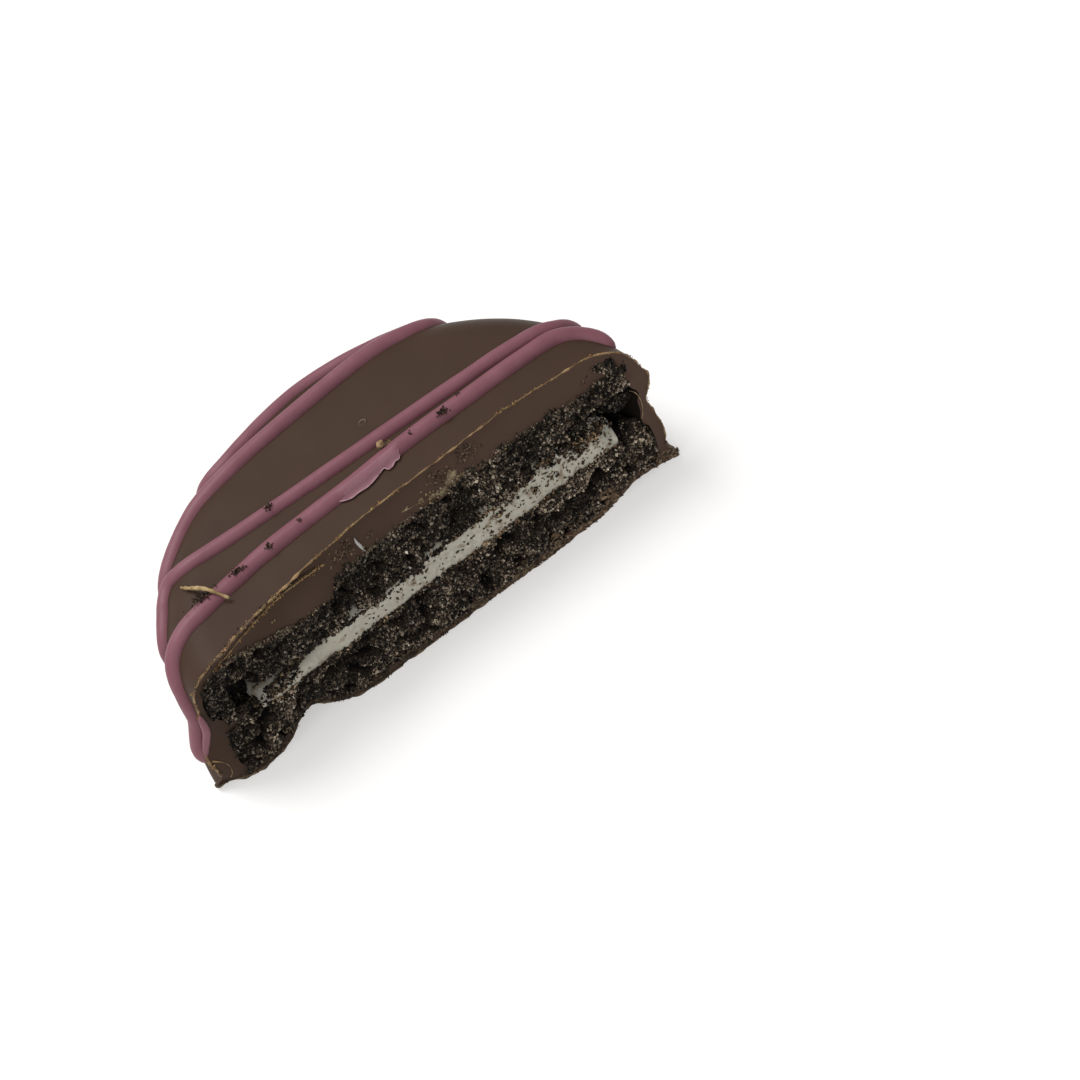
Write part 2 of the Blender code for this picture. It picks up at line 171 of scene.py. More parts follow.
def layer_slab(layer, cell, front):
    """A layer of the cookie: its broken front is a fine grid, drawn back to the disc's round rim.
    Front gives y and a mask for each place of the grid."""
    floor, top, centre, radius, edge = (layer[key] for key in ("floor", "top", "centre", "radius", "edge"))
    build = bmesh.new()
    columns = round(2.0 * radius / cell)
    rows = max(6, round((top(0.0) - floor) / cell))
    bmesh.ops.create_grid(build, x_segments=columns, y_segments=rows, size=1.0)
    mask = build.verts.layers.float.new("pit_and_painted_shade")
    back = build.verts.layers.float.new("back")
    rim_y = front(centre[0], (floor + top(0.0)) / 2)[0] - centre[1]
    reach = math.sqrt(radius * radius - rim_y * rim_y)
    for vertex in build.verts:
        side, level = vertex.co.x, vertex.co.y
        x = centre[0] + side * reach
        half = (top(x) - floor) / 2
        end = (1.0 - abs(side)) * reach
        if end < edge:
            half -= edge - math.sqrt(edge * edge - (edge - end) ** 2)
        z = (floor + top(x)) / 2 + level * half
        from_skin = half * (1.0 - abs(level))
        inset = edge - math.sqrt(edge * edge - (edge - from_skin) ** 2) if from_skin < edge else 0.0
        # Each place keeps how deep it lies in the pits, which its material paints darker as painted shade.
        y, vertex[mask] = front(x, z)
        vertex.co = (x, y, z)
        rim = centre[1] + math.sqrt(max((radius - inset) ** 2 - (x - centre[0]) ** 2, 0.0))
        vertex[back] = max(rim, y + 0.03)
    close_behind(build, 1, lambda vertex: vertex[back])
    build.verts.layers.float.remove(back)
    return build


def in_place(points):
    """Leans points in millimetres by the cookie's wedge and puts them in place, in metres."""
    points = np.array(points, float).reshape(-1, 3)
    points[:, 2] *= 1.0 + WEDGE * points[:, 0]
    return (points + np.array(DISC_CENTRE)) * MM


def add_piece(name, mesh, materials, slot, *nodes):
    """Puts a finished mesh in the scene, on the one body, in place of the nodes it stands for."""
    piece = bpy.data.objects.new(name, mesh)
    bpy.context.scene.collection.objects.link(piece)
    for material in materials:
        mesh.materials.append(material)
    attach(piece, "root")
    if nodes:
        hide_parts(*nodes)


def settle(build, name):
    """Ends a bmesh as a smooth-shaded mesh in its place in the cookie."""
    mesh = bpy.data.meshes.new(name)
    build.to_mesh(mesh)
    build.free()
    points = np.zeros(len(mesh.vertices) * 3, np.float32)
    mesh.vertices.foreach_get("co", points)
    mesh.vertices.foreach_set("co", in_place(points).astype(np.float32).ravel())
    mesh.shade_smooth()
    mesh.update()
    return mesh


def add_solid(name, build, material, slot, *nodes):
    add_piece(name, settle(build, name), [material], slot, *nodes)


def grain_shape(seed):
    """One angular grain of eight sides about its own middle, as its corners and its faces."""
    draw = random.Random(seed)
    corners = [(1, 0, 0), (0, 1, 0), (-1, 0, 0), (0, -1, 0), (0, 0, 1), (0, 0, -1)]
    corners = [[draw.uniform(0.8, 1.5) * value + draw.uniform(-0.2, 0.2) for value in corner]
               for corner in corners]
    sides = [side for a, b in ((0, 1), (1, 2), (2, 3), (3, 0)) for side in ((a, b, 4), (b, a, 5))]
    return np.array(corners), np.array(sides)


grain_shapes = [grain_shape(seed) for seed in range(GRAIN_SHAPES)]


def add_bits(name, bits, material, slot):
    """Adds a mesh of many loose bits. A bit is its middle, its three radii, its turn and its colour."""
    corners, faces, colours = [], [], []
    count = 0
    for index, (middle, radii, turn, colour) in enumerate(bits):
        points, sides = grain_shapes[index % GRAIN_SHAPES]
        corners.append((points * radii) @ np.array(Euler(turn).to_matrix()).T + middle)
        faces.append(sides + count)
        colours.append(np.tile((*colour, 1.0), (len(points), 1)))
        count += len(points)
    mesh = bpy.data.meshes.new(name)
    mesh.from_pydata(in_place(np.concatenate(corners)).tolist(), [], np.concatenate(faces).tolist())
    tint = mesh.color_attributes.new("tint", "FLOAT_COLOR", "POINT")
    tint.data.foreach_set("color", np.concatenate(colours).astype(np.float32).ravel())
    add_piece(name, mesh, [material], slot)


def any_turn(draw):
    return tuple(draw.uniform(0, math.tau) for _ in range(3))


def dust_and_hollow_shade(x, z):
    """From 0 to about 1, how pale and dusty the crumb is at a place, and darker in the left hollow as painted
    shade.
    """
    pale = DUST_LEVEL * smooth_step(-0.35, 0.4, noise.noise(Vector((x / DUST_SIZE, z / DUST_SIZE, 5.7))))
    for place in DUST_AND_SHADE_PLACES:
        pale += place[4] * mound(x, z, place)
    return max(0.0, pale)


def grain_tint(draw, pale):
    """A colour for a grain, more often a pale one where the crumb is pale."""
    pick = draw.random() ** (1.25 - 0.5 * pale)
    for colour, share in GRAIN_TINTS:
        pick -= share
        if pick <= 0.0:
            break
    glow = draw.uniform(*GRAIN_GLOW) * (0.42 + 1.1 * pale)
    return tuple(channel * glow for channel in colour)


def grain(draw, x, y, z, largest=1.5):
    """A grain lying on the broken face at a place."""
    size = draw.uniform(*GRAIN_RADIUS) * draw.choice((*GRAIN_SCALES, largest))
    radii = tuple(size * draw.uniform(*GRAIN_SQUASH) for _ in range(3))
    # Painted shade: grains that lie deep in the face get darker tints.
    sunk = SUNK_SHADE * smooth_step(*SUNK_SPAN, y - broken_face(x, z))
    pale = max(0.0, dust_and_hollow_shade(x, z) + LEAST_PALE - sunk)
    return (x, y - GRAIN_SINK * size, z), radii, any_turn(draw), grain_tint(draw, pale)


def face_grains(layer, front):
    """Grains packed on a wafer's broken face, fewer in its pits, and some strayed over its edges."""
    draw = random.Random(layer["draw"])
    bits = []
    while len(bits) < layer["grains"]:
        x = layer["centre"][0] + draw.uniform(-1.0, 1.0) * (layer["radius"] - GRAIN_INSET)
        if draw.random() < EDGE_SHARE:
            stray = abs(draw.gauss(0.0, 1.0)) * (STRAY_REACH[0] + STRAY_REACH[1] * dust_and_hollow_shade(2.0 * x, 31.0))
            z = draw.choice((layer["floor"] - stray * layer["strays"][0],
                             layer["top"](x) + stray * layer["strays"][1]))
            if front(x, z)[1] < 0.5:
                bits.append(grain(draw, x, broken_face(x, z) - 0.05, z))
            continue
        z = draw.uniform(layer["floor"] - 0.05, layer["top"](x) + 0.1)
        y, pit_and_painted_shade = front(x, z)
        if draw.random() > PIT_BARE * pit_and_painted_shade:
            bits.append(grain(draw, x, y, z))
    return bits


def plain_shader(name, colour, roughness, gloss):
    """A new material, its node tree and its Principled shader."""
    material = bpy.data.materials.new(name)
    material.use_nodes = True
    shader = material.node_tree.nodes["Principled BSDF"]
    shader.inputs["Base Color"].default_value = (*colour, 1.0)
    shader.inputs["Roughness"].default_value = roughness
    shader.inputs["Specular IOR Level"].default_value = gloss
    return material, material.node_tree, shader


def relief_group():
    """Shader group: a fine uneven surface, as a height, with the scale of its lumps as an input."""
    group = bpy.data.node_groups.new("uneven_surface", "ShaderNodeTree")
    nodes, links = group.nodes, group.links
    group.interface.new_socket("Scale", in_out="INPUT", socket_type="NodeSocketFloat")
    group.interface.new_socket("Detail", in_out="INPUT", socket_type="NodeSocketFloat")
    group.interface.new_socket("Height", in_out="OUTPUT", socket_type="NodeSocketFloat")
    given, result = nodes.new("NodeGroupInput"), nodes.new("NodeGroupOutput")
    place, pattern = nodes.new("ShaderNodeTexCoord"), nodes.new("ShaderNodeTexNoise")
    links.new(place.outputs["Object"], pattern.inputs["Vector"])
    links.new(given.outputs["Scale"], pattern.inputs["Scale"])
    links.new(given.outputs["Detail"], pattern.inputs["Detail"])
    links.new(pattern.outputs["Fac"], result.inputs["Height"])
    return group


uneven_surface = relief_group()


def uneven(tree, scale, detail):
    """Height of the uneven surface, from 0 to 1, in a material."""
    group = tree.nodes.new("ShaderNodeGroup")
    group.node_tree = uneven_surface
    group.inputs["Scale"].default_value = scale
    group.inputs["Detail"].default_value = detail
    return group.outputs["Height"]


def bumped(tree, shader, scale, detail, strength, distance):
    """Gives a material a bump from the uneven surface."""
    bump = tree.nodes.new("ShaderNodeBump")
    bump.inputs["Strength"].default_value = strength
    bump.inputs["Distance"].default_value = distance
    tree.links.new(uneven(tree, scale, detail), bump.inputs["Height"])
    tree.links.new(bump.outputs["Normal"], shader.inputs["Normal"])


def blended(tree, factor, first, second):
    """Mixes two colours, or what two sockets give, by a socket's value."""
    mix = tree.nodes.new("ShaderNodeMix")
    mix.data_type = "RGBA"
    tree.links.new(factor, mix.inputs["Factor"])
    for name, value in (("A", first), ("B", second)):
        socket = next(s for s in mix.inputs if s.name == name and s.type == "RGBA")
        if isinstance(value, tuple):
            socket.default_value = (*value, 1.0)
        else:
            tree.links.new(value, socket)
    return next(s for s in mix.outputs if s.type == "RGBA")


def ranged(tree, value, low, high):
    """Stretches a value so that low becomes 0 and high becomes 1."""
    spread = tree.nodes.new("ShaderNodeMapRange")
    spread.inputs["From Min"].default_value = low
    spread.inputs["From Max"].default_value = high
    tree.links.new(value, spread.inputs["Value"])
    return spread.outputs["Result"]


def patches(tree, scale, detail, low, high):
    """Soft patches of the uneven surface, from 0 to 1."""
    return ranged(tree, uneven(tree, scale, detail), low, high)


def attribute(tree, name):
    node = tree.nodes.new("ShaderNodeAttribute")
    node.attribute_name = name
    return node.outputs


def crumb_material():
    """Broken wafer: black-brown, dusted paler on the lumps, and painted dead black in the pits as painted
    shade.
    """
    material, tree, shader = plain_shader("wafer_crumb", (0.016, 0.012, 0.010), 0.9, 0.1)
    fine = patches(tree, 5200.0, 2.0, 0.46, 0.66)
    colour = blended(tree, fine, (0.014, 0.0105, 0.008), (0.085, 0.064, 0.046))
    # Painted shade: the pits, the pockets and the mounds set far back are darkened to near black.
    colour = blended(tree, attribute(tree, "pit_and_painted_shade")["Fac"], colour, (0.004, 0.003, 0.003))
    tree.links.new(colour, shader.inputs["Base Color"])
    bumped(tree, shader, 7000.0, 2.0, 0.8, 0.00008)
    return material


def tinted_material(name, roughness, scale):
    """Loose bits: each keeps its own colour, with a little unevenness over it."""
    material, tree, shader = plain_shader(name, (0.02, 0.015, 0.012), roughness, 0.15)
    tint = attribute(tree, "tint")["Color"]
    dark = tree.nodes.new("ShaderNodeVectorMath")
    dark.operation = "SCALE"
    dark.inputs["Scale"].default_value = 0.6
    tree.links.new(tint, dark.inputs[0])
    colour = blended(tree, patches(tree, scale, 2.0, 0.35, 0.6), dark.outputs[0], tint)
    tree.links.new(colour, shader.inputs["Base Color"])
    return material


wafer_crumb = crumb_material()
grain_finish = tinted_material("wafer_grain", 0.7, 6000.0)


def add_wafer(name, layer, node):
    """Adds a wafer in place of its CAD node, and the grains that lie on its broken face."""
    def front(x, z):
        back, pit_and_painted_shade = crumb_relief(x, z, layer["seed"], layer["pockets"])
        return broken_face(x, z) + back, pit_and_painted_shade

    add_solid(name, layer_slab(layer, CRUMB_CELL, front), wafer_crumb, "dark_wafer", node)
    add_bits(name + "_grains", face_grains(layer, front), grain_finish, "dark_wafer")


add_wafer("wafer_lower", LOWER_WAFER, "wafer_bottom")


# The cream: a soft sugar filling, pressed flat between the wafers and short of their rims.
# It tore where the cookie broke: one smooth strip, and a hollow at its left end.
CREAM = {"floor": 4.8, "top": lambda x: 7.95, "centre": (0.2, -0.3), "radius": 19.5, "edge": 0.7,
         "seed": 11.7, "ahead": 0.12}
CREAM_LUMPS = ((2.8, 0.22), (1.2, 0.10), (0.42, 0.045), (0.16, 0.018))
# Hollows torn in the cream: place, height, half-width, half-height, depth
CREAM_HOLLOWS = ((-16.3, 7.5, 4.3, 1.35, 1.5), (-20.6, 7.0, 2.1, 1.5, 2.6), (19.4, 7.4, 1.3, 1.2, 0.8))
CREAM_CELL = 0.11
CREAM_SPECKS = 430
# Where the specks lie, along and up: a start, a span and how they crowd
SPECK_PLACES = ((-17.0, 36.0, 0.38), (7.9, -2.6, 1.4))
SPECK_TINTS = ((0.030, 0.019, 0.011), (0.060, 0.037, 0.021), (0.12, 0.074, 0.038))
RUBBED = (1.1, 0.92, 0.72)
# Crumbs rubbed into the cream: each patch is its ends, its spread and its number of grains
CREAM_CRUMBS = (((-11.8, 7.4), (-17.8, 5.9), 0.24, 620), ((-14.5, 6.0), (-19.6, 5.3), 0.22, 260),
                ((14.5, 8.0), (18.6, 7.9), 0.34, 900), ((9.0, 8.0), (16.5, 8.0), 0.20, 500),
                ((2.0, 7.9), (13.5, 8.0), 0.10, 260), ((-12.0, 7.85), (5.0, 7.85), 0.10, 300),
                ((-18.0, 4.9), (-8.0, 5.0), 0.12, 240), ((-8.0, 5.0), (19.0, 4.95), 0.13, 800),
                ((6.0, 7.0), (7.2, 6.8), 0.12, 40), ((10.5, 6.6), (10.9, 6.4), 0.16, 40),
                ((15.3, 7.2), (16.0, 6.9), 0.16, 50), ((-19.2, 6.6), (-18.9, 5.0), 0.18, 110),
                ((8.4, 7.4), (8.6, 7.3), 0.14, 40), ((12.6, 7.5), (13.4, 7.4), 0.16, 50),
                ((15.4, 7.5), (18.2, 7.4), 0.28, 90), ((18.8, 7.8), (19.4, 7.0), 0.16, 24))


def cream_front(x, z):
    hollow = sum(place[4] * mound(x, z, place, 4) for place in CREAM_HOLLOWS)
    depth = rolling(x, z, CREAM_LUMPS, CREAM["seed"])
    # The second value, from the depth of the hollows, is where the cream is painted darker as painted shade.
    return broken_face(x, z) + depth + hollow - CREAM["ahead"], min(1.0, hollow / 2.6)


def cream_material():
    """Off-white filling, a little glassy with sugar, browned where crumbs have rubbed on it, and painted grey
    in its torn hollows as painted shade.
    """
    material, tree, shader = plain_shader("cream_filling", (0.42, 0.40, 0.34), 0.6, 0.25)
    fine = patches(tree, 2600.0, 3.0, 0.35, 0.65)
    broad = patches(tree, 420.0, 2.0, 0.35, 0.68)
    stain = patches(tree, 1100.0, 5.0, 0.57, 0.70)
    colour = blended(tree, fine, (0.30, 0.285, 0.235), (0.42, 0.40, 0.34))
    colour = blended(tree, broad, colour, (0.37, 0.35, 0.285))
    colour = blended(tree, stain, colour, (0.20, 0.15, 0.10))
    # Painted shade: the torn hollows are darkened to grey.
    colour = blended(tree, attribute(tree, "pit_and_painted_shade")["Fac"], colour, (0.115, 0.108, 0.093))
    tree.links.new(colour, shader.inputs["Base Color"])
    bumped(tree, shader, 4200.0, 3.0, 0.6, 0.00008)
    return material


add_solid("cream_filling", layer_slab(CREAM, CREAM_CELL, cream_front), cream_material(), "cream_filling",
          "cream")


def cream_bits():
    """Dark specks and crumbs that stuck to the cream when it tore."""
    draw = random.Random(5)
    bits = []
    for _ in range(CREAM_SPECKS):
        x, z = (start + span * draw.random() ** crowd for start, span, crowd in SPECK_PLACES)
        size = draw.uniform(0.04, 0.13) * draw.choice((1.0, 1.0, 1.8))
        radii = (size * draw.uniform(0.8, 1.6), size * 0.5, size * draw.uniform(0.5, 1.1))
        turn = (0.0, draw.uniform(0.0, math.tau), 0.0)
        bits.append(((x, cream_front(x, z)[0] - 0.02, z), radii, turn, draw.choice(SPECK_TINTS)))
    for start, end, spread, count in CREAM_CRUMBS:
        for _ in range(count):
            share = draw.random()
            x = start[0] + share * (end[0] - start[0]) + draw.gauss(0.0, spread)
            z = start[1] + share * (end[1] - start[1]) + draw.gauss(0.0, spread)
            y = min(cream_front(x, z)[0], broken_face(x, z) + 0.35)
            over = max(0.0, z - CREAM["top"](x))
            middle, radii, turn, colour = grain(draw, x, y - 0.04 + 2.2 * over, z - over, 1.6)
            colour = tuple(channel * warm for channel, warm in zip(colour, RUBBED))
            bits.append((middle, radii, turn, colour))
    return bits


add_bits("cream_crumbs", cream_bits(), grain_finish, "dark_wafer")


# The upper wafer: the same biscuit, laid on the cream with its face out.
# Its broken front is lumpier, and at the left it is thinner under a thicker cap of chocolate.
UPPER_TOP = 12.0
# How far the wafer's top is below its highest: place, dip
UPPER_DIPS = ((-22.5, 0.5), (-20.6, 0.0), (-18.1, 0.35), (-15.5, 1.05), (-13.0, 0.75), (-11.0, 0.4),
              (-9.4, 1.0), (-8.2, 0.2), (-5.5, 0.0), (12.0, 0.0), (14.5, 0.3), (22.5, 0.4))
UPPER_POCKETS = ((19.9, 8.5, 2.7, 1.15, 1.9), (-19.6, 8.3, 1.1, 1.0, 2.3))
# Mounds of crumb over the cap's edge and at both ends: middle, height, half-sizes, how far back
HEAPS = ((20.6, 11.9, 2.3, 1.4, 0), (5.9, 12.0, 1.1, 0.8, 0), (9.2, 12.0, 1.3, 0.7, 0),
         (-7.6, 11.9, 1.4, 0.7, 0), (-2.2, 11.7, 1.6, 0.6, 0), (14.6, 11.8, 1.5, 0.7, 0),
         (-21.9, 9.2, 1.2, 1.5, 0), (-21.3, 7.0, 0.75, 1.7, 0), (-12.0, 11.3, 1.4, 0.6, 0),
         (-22.3, 3.6, 0.9, 1.6, 0), (21.3, 4.4, 1.2, 1.2, 0), (-19.9, 5.4, 1.4, 0.8, 0.1),
         (-19.4, 7.2, 2.2, 2.2, 2.1), (20.4, 8.3, 2.2, 1.3, 2.0),
         (21.0, 8.1, 1.5, 1.2, 0.95))
HEAP_SEED = 52.1
HEAP_CELL = 0.13
HEAP_ROUND = 0.6
HEAP_PROUD = 0.1
HEAP_DEPTH = 0.5
HEAP_GRAINS = 6500
# A mound that lies this far back is deep in a hollow, and gets few grains
HEAP_SUNK = 1.0
FEW = 0.2


def upper_top(x):
    return UPPER_TOP - float(np.interp(x, *zip(*UPPER_DIPS)))


def heap_face(x, z, away, set_back):
    """Y of a mound's face at a place that is so far, from 0 to 1, from its middle, and how deep it lies in
    one of its pits.
    """
    back, pit_and_painted_shade = crumb_relief(x, z, HEAP_SEED)
    return broken_face(x, z) + back + HEAP_ROUND * away ** 4 - HEAP_PROUD + set_back, pit_and_painted_shade


def crumb_heaps():
    """Mounds of crumb that bulge over their neighbours."""
    build = bmesh.new()
    mask = build.verts.layers.float.new("pit_and_painted_shade")
    for place, height, half_width, half_height, set_back in HEAPS:
        columns, rows = round(2 * half_width / HEAP_CELL), round(2 * half_height / HEAP_CELL)
        made = bmesh.ops.create_grid(build, x_segments=columns, y_segments=rows, size=1.0)
        for vertex in made["verts"]:
            side, level = vertex.co.x, vertex.co.y
            across, up = side * math.sqrt(1 - level * level / 2), level * math.sqrt(1 - side * side / 2)
            x, z = place + across * half_width, height + up * half_height
            y, pit_and_painted_shade = heap_face(x, z, math.hypot(across, up), set_back)
            vertex.co = (x, y, z)
            # Painted shade: a mound set far back in a hollow is painted darker, up to black.
            vertex[mask] = max(pit_and_painted_shade, min(1.0, set_back / 1.5))
    return close_behind(build, 1, lambda vertex: vertex.co.y + HEAP_DEPTH)


def heap_grains(seed):
    draw = random.Random(seed)
    weights = [half_width * half_height * (FEW if set_back > HEAP_SUNK else 1.0)
               for _, _, half_width, half_height, set_back in HEAPS]
    bits = []
    for place, height, half_width, half_height, set_back in draw.choices(HEAPS, weights, k=HEAP_GRAINS):
        turn, away = draw.uniform(0, math.tau), math.sqrt(draw.random())
        x = place + half_width * away * math.cos(turn)
        z = height + half_height * away * math.sin(turn)
        bits.append(grain(draw, x, heap_face(x, z, away, set_back)[0], z))
    return bits


UPPER_WAFER = {"floor": 7.75, "top": upper_top, "centre": (-0.5, -0.5), "radius": 22.75, "edge": 1.1,
               "seed": 34.9, "pockets": UPPER_POCKETS, "strays": (SEAM_SPREAD, EDGE_SPREAD),
               "grains": 21000, "draw": 12}
add_wafer("wafer_upper", UPPER_WAFER, "wafer_top")
add_solid("crumb_heaps", crumb_heaps(), wafer_crumb, "dark_wafer")
add_bits("crumb_heap_grains", heap_grains(14), grain_finish, "dark_wafer")


# The chocolate coat: the sandwich was dipped, so it is a thin shell with a thick cap on top,
# a waist between the wafers and a foot where it set on the tray. It snapped off smooth.
COOKIE_HEIGHT = 14.35
TOP_CROWN = 0.2
SIDE_RADIUS = 23.75
SHOULDER_REACH = 4.0
SHOULDER_HEIGHT = 10.8
SHOULDER_STEPS = 12
# Line of the side: how far out from its radius, height
SIDE_WAVE = ((-0.03, 9.6), (-0.18, 8.5), (-0.25, 7.6), (-0.10, 6.7), (0.08, 5.6), (0.24, 4.4),
             (0.14, 3.1), (-0.05, 2.1), (0.10, 1.4), (0.62, 0.7), (0.72, 0.35), (0.62, 0.0))
FOOT_RADIUS = 24.0
WAIST_HEIGHT = 7.5
WAIST_SPAN = 1.6
WAIST_EXTRA = 0.22
# Swellings of the side: how far out, height, half-height, angle round the disc, half-angle
SWELLS = ((0.95, 9.1, 1.35, 0.0, 0.55), (0.60, 3.8, 2.8, math.pi, 0.6), (-0.6, 11.2, 2.2, math.pi, 0.22),
          (0.35, 0.9, 1.2, math.pi, 0.45))
# How the disc is out of round: waves round it, their cosine and sine shares
PLAN_WAVES = ((2, 0.0019, 0.0037), (3, -0.0130, 0.0155))
HOLLOW_WAIST = 0.55
HOLLOW_TOP = 11.98
LEFT_TONGUE = 2.0
TONGUE_HEIGHT = 5.4
TONGUE_SPAN = 0.85
RIGHT_BAY = 0.8
BAY_HEIGHT = 7.5
BAY_SPAN = 1.65
# From where to where the tongue and the bay grow along the break, how near the break the hollow
# is worked, and how high it starts to follow the upper wafer's top
TONGUE_REACH = (-12.0, -20.0)
BAY_REACH = (14.0, 20.0)
WORKED_REACH = (13.0, 7.0)
SUNK_HEIGHTS = (8.4, 11.2)
HOLLOW_TURNS = 200
SKIN_STEP = 0.45
SKIN_TURNS = 400
SKIN_LUMPS = ((6.5, 0.07), (2.4, 0.02))
COAT_LUMPS = ((3.4, 0.16), (1.3, 0.05), (0.5, 0.02))
COAT_SEED = 3.1
COAT_SHARP = 38.0
COAT_BREAK_CELL = 0.26
CUTTER_REACH = 27.0
CUTTER_FRONT = -30.0
CUTTER_LOW = -1.2
CUTTER_HIGH = 16.2
MERGE = 0.005
# The coat's materials are its skin, the inside of its hollow and its break, and two of them meet
# along the outline of the break
SKIN_AND_BREAK = {0, 2}
OUTLINE_STEP = 0.2
CHOCOLATE_GLOSS = 0.07
CHOCOLATE_PATCHES = (150.0, 3.0, 0.3, 0.7)
# Where along the break, in metres, its colour goes from plain to a paler one towards the right end
RIGHT_END_SPAN = (-0.016, 0.020)


def smooth_route(points, step):
    """A smooth line through the points, with a point about every step."""
    places = [np.array(point, float) for point in points]
    ends = [2 * places[0] - places[1], *places, 2 * places[-1] - places[-2]]
    line = []
    for a, b, c, d in zip(ends, ends[1:], ends[2:], ends[3:]):
        count = max(1, round(float(np.linalg.norm(c - b)) / step))
        for part in range(count):
            t = part / count
            line.append(0.5 * (2 * b + (c - a) * t + (2 * a - 5 * b + 4 * c - d) * t ** 2
                               + (3 * b - a - 3 * c + d) * t ** 3))
    line.append(ends[-2])
    return line


def coat_profile():
    """Outer line of the coat from the middle of the top, out and down to the flat base."""
    flat = SIDE_RADIUS - SHOULDER_REACH
    rim = COOKIE_HEIGHT - TOP_CROWN
    rings = round(flat / SKIN_STEP)
    line = [(flat * i / rings, COOKIE_HEIGHT - TOP_CROWN * (i / rings) ** 2) for i in range(rings + 1)]
    for step in range(1, SHOULDER_STEPS + 1):
        turn = math.pi / 2 * step / SHOULDER_STEPS
        line.append((flat + SHOULDER_REACH * math.sin(turn),
                     SHOULDER_HEIGHT + (rim - SHOULDER_HEIGHT) * math.cos(turn)))
    side = [line[-1]] + [(SIDE_RADIUS + out, height) for out, height in SIDE_WAVE]
    line += [tuple(point) for point in smooth_route(side, SKIN_STEP)[1:]]
    return line + [(FOOT_RADIUS - 0.4, 0.0), (FOOT_RADIUS * 0.6, 0.0), (0.0, 0.0)]


def coat_radius(radius, angle, height):
    """Radius of the coat's outside, which is not quite round and changes round the disc."""
    waved = sum(c * math.cos(n * angle) + s * math.sin(n * angle) for n, c, s in PLAN_WAVES)
    waist = (height - WAIST_HEIGHT) / WAIST_SPAN
    out = -WAIST_EXTRA * math.exp(-waist * waist) * (0.5 + 0.5 * math.cos(angle))
    for far, level, span, place, reach in SWELLS:
        turn = abs(abs(angle) - place)
        out += far * math.exp(-((height - level) / span) ** 2 - (turn / reach) ** 2)
    return radius * (1.0 + waved) + out * (radius / SIDE_RADIUS) ** 4


def spun(profile, turns):
    """A closed shape of revolution from a profile that starts and ends on the axis."""
    build = bmesh.new()
    corners = [build.verts.new((radius, 0.0, height)) for radius, height in profile]
    edges = [build.edges.new(pair) for pair in zip(corners, corners[1:])]
    bmesh.ops.spin(build, geom=corners + edges, cent=(0, 0, 0), axis=(0, 0, 1), angle=math.tau,
                   steps=turns, use_merge=True)
    bmesh.ops.remove_doubles(build, verts=build.verts, dist=MERGE)
    bmesh.ops.recalc_face_normals(build, faces=build.faces)
    return build


def as_object(build, name, material):
    mesh = bpy.data.meshes.new(name)
    build.to_mesh(mesh)
    build.free()
    mesh.materials.append(material)
    made = bpy.data.objects.new(name, mesh)
    bpy.context.scene.collection.objects.link(made)
    return made


def outer_skin(material):
    build = spun(coat_profile(), SKIN_TURNS)
    for vertex in build.verts:
        angle = math.atan2(vertex.co.y, vertex.co.x)
        radius = math.hypot(vertex.co.x, vertex.co.y)
        height = vertex.co.z
        lump = sum(size * noise.noise(vertex.co / width + Vector((0, 0, 9.1 * layer)))
                   for layer, (width, size) in enumerate(SKIN_LUMPS))
        out = coat_radius(radius, angle, height)
        if height > SHOULDER_HEIGHT:
            height += lump
        elif height > 0.0:
            out += lump
        vertex.co = (out * math.cos(angle), out * math.sin(angle), height)
    return as_object(build, "outer_skin", material)


def hollow_cutter(material):
    """The room of the wafers and the cream, with a tongue of chocolate between the wafers' left ends
    and a bay in the wall at the right."""
    wide = LOWER_WAFER["radius"] + 0.05
    waist = wide - HOLLOW_WAIST
    low = LOWER_WAFER["floor"] + 0.05
    lower, upper = SEAM_LOWER, CREAM["top"](0.0)
    profile = [(0.0, HOLLOW_TOP), (wide * 0.5, HOLLOW_TOP), (wide - 1.0, HOLLOW_TOP),
               (wide - 0.3, HOLLOW_TOP - 0.3), (wide, HOLLOW_TOP - 1.0), (wide, upper + 0.3),
               (waist + 0.15, upper - 0.3), (waist, upper - 1.0), (waist, lower + 1.0),
               (waist + 0.15, lower + 0.3), (wide, lower - 0.25), (wide, low + 1.0),
               (wide - 0.3, low + 0.3), (wide - 1.0, low), (0.0, low)]
    build = spun([tuple(point) for point in smooth_route(profile, 0.6)], HOLLOW_TURNS)
    for vertex in build.verts:
        share = smooth_step(lower, upper, vertex.co.z)
        for axis in (0, 1):
            vertex.co[axis] += (LOWER_WAFER["centre"][axis] * (1 - share)
                                + UPPER_WAFER["centre"][axis] * share)
        near_front = smooth_step(*WORKED_REACH, vertex.co.y)
        sunk = smooth_step(*SUNK_HEIGHTS, vertex.co.z)
        vertex.co.z -= (UPPER_TOP - upper_top(vertex.co.x)) * near_front * sunk
        tongue = (math.exp(-((vertex.co.z - TONGUE_HEIGHT) / TONGUE_SPAN) ** 4)
                  * smooth_step(*TONGUE_REACH, vertex.co.x))
        bay = (math.exp(-((vertex.co.z - BAY_HEIGHT) / BAY_SPAN) ** 4)
               * smooth_step(*BAY_REACH, vertex.co.x))
        vertex.co.x += (LEFT_TONGUE * tongue + RIGHT_BAY * bay) * near_front
    return as_object(build, "hollow", material)


def coat_front(x, z):
    return broken_face(x, z) + rolling(x, z, COAT_LUMPS, COAT_SEED)


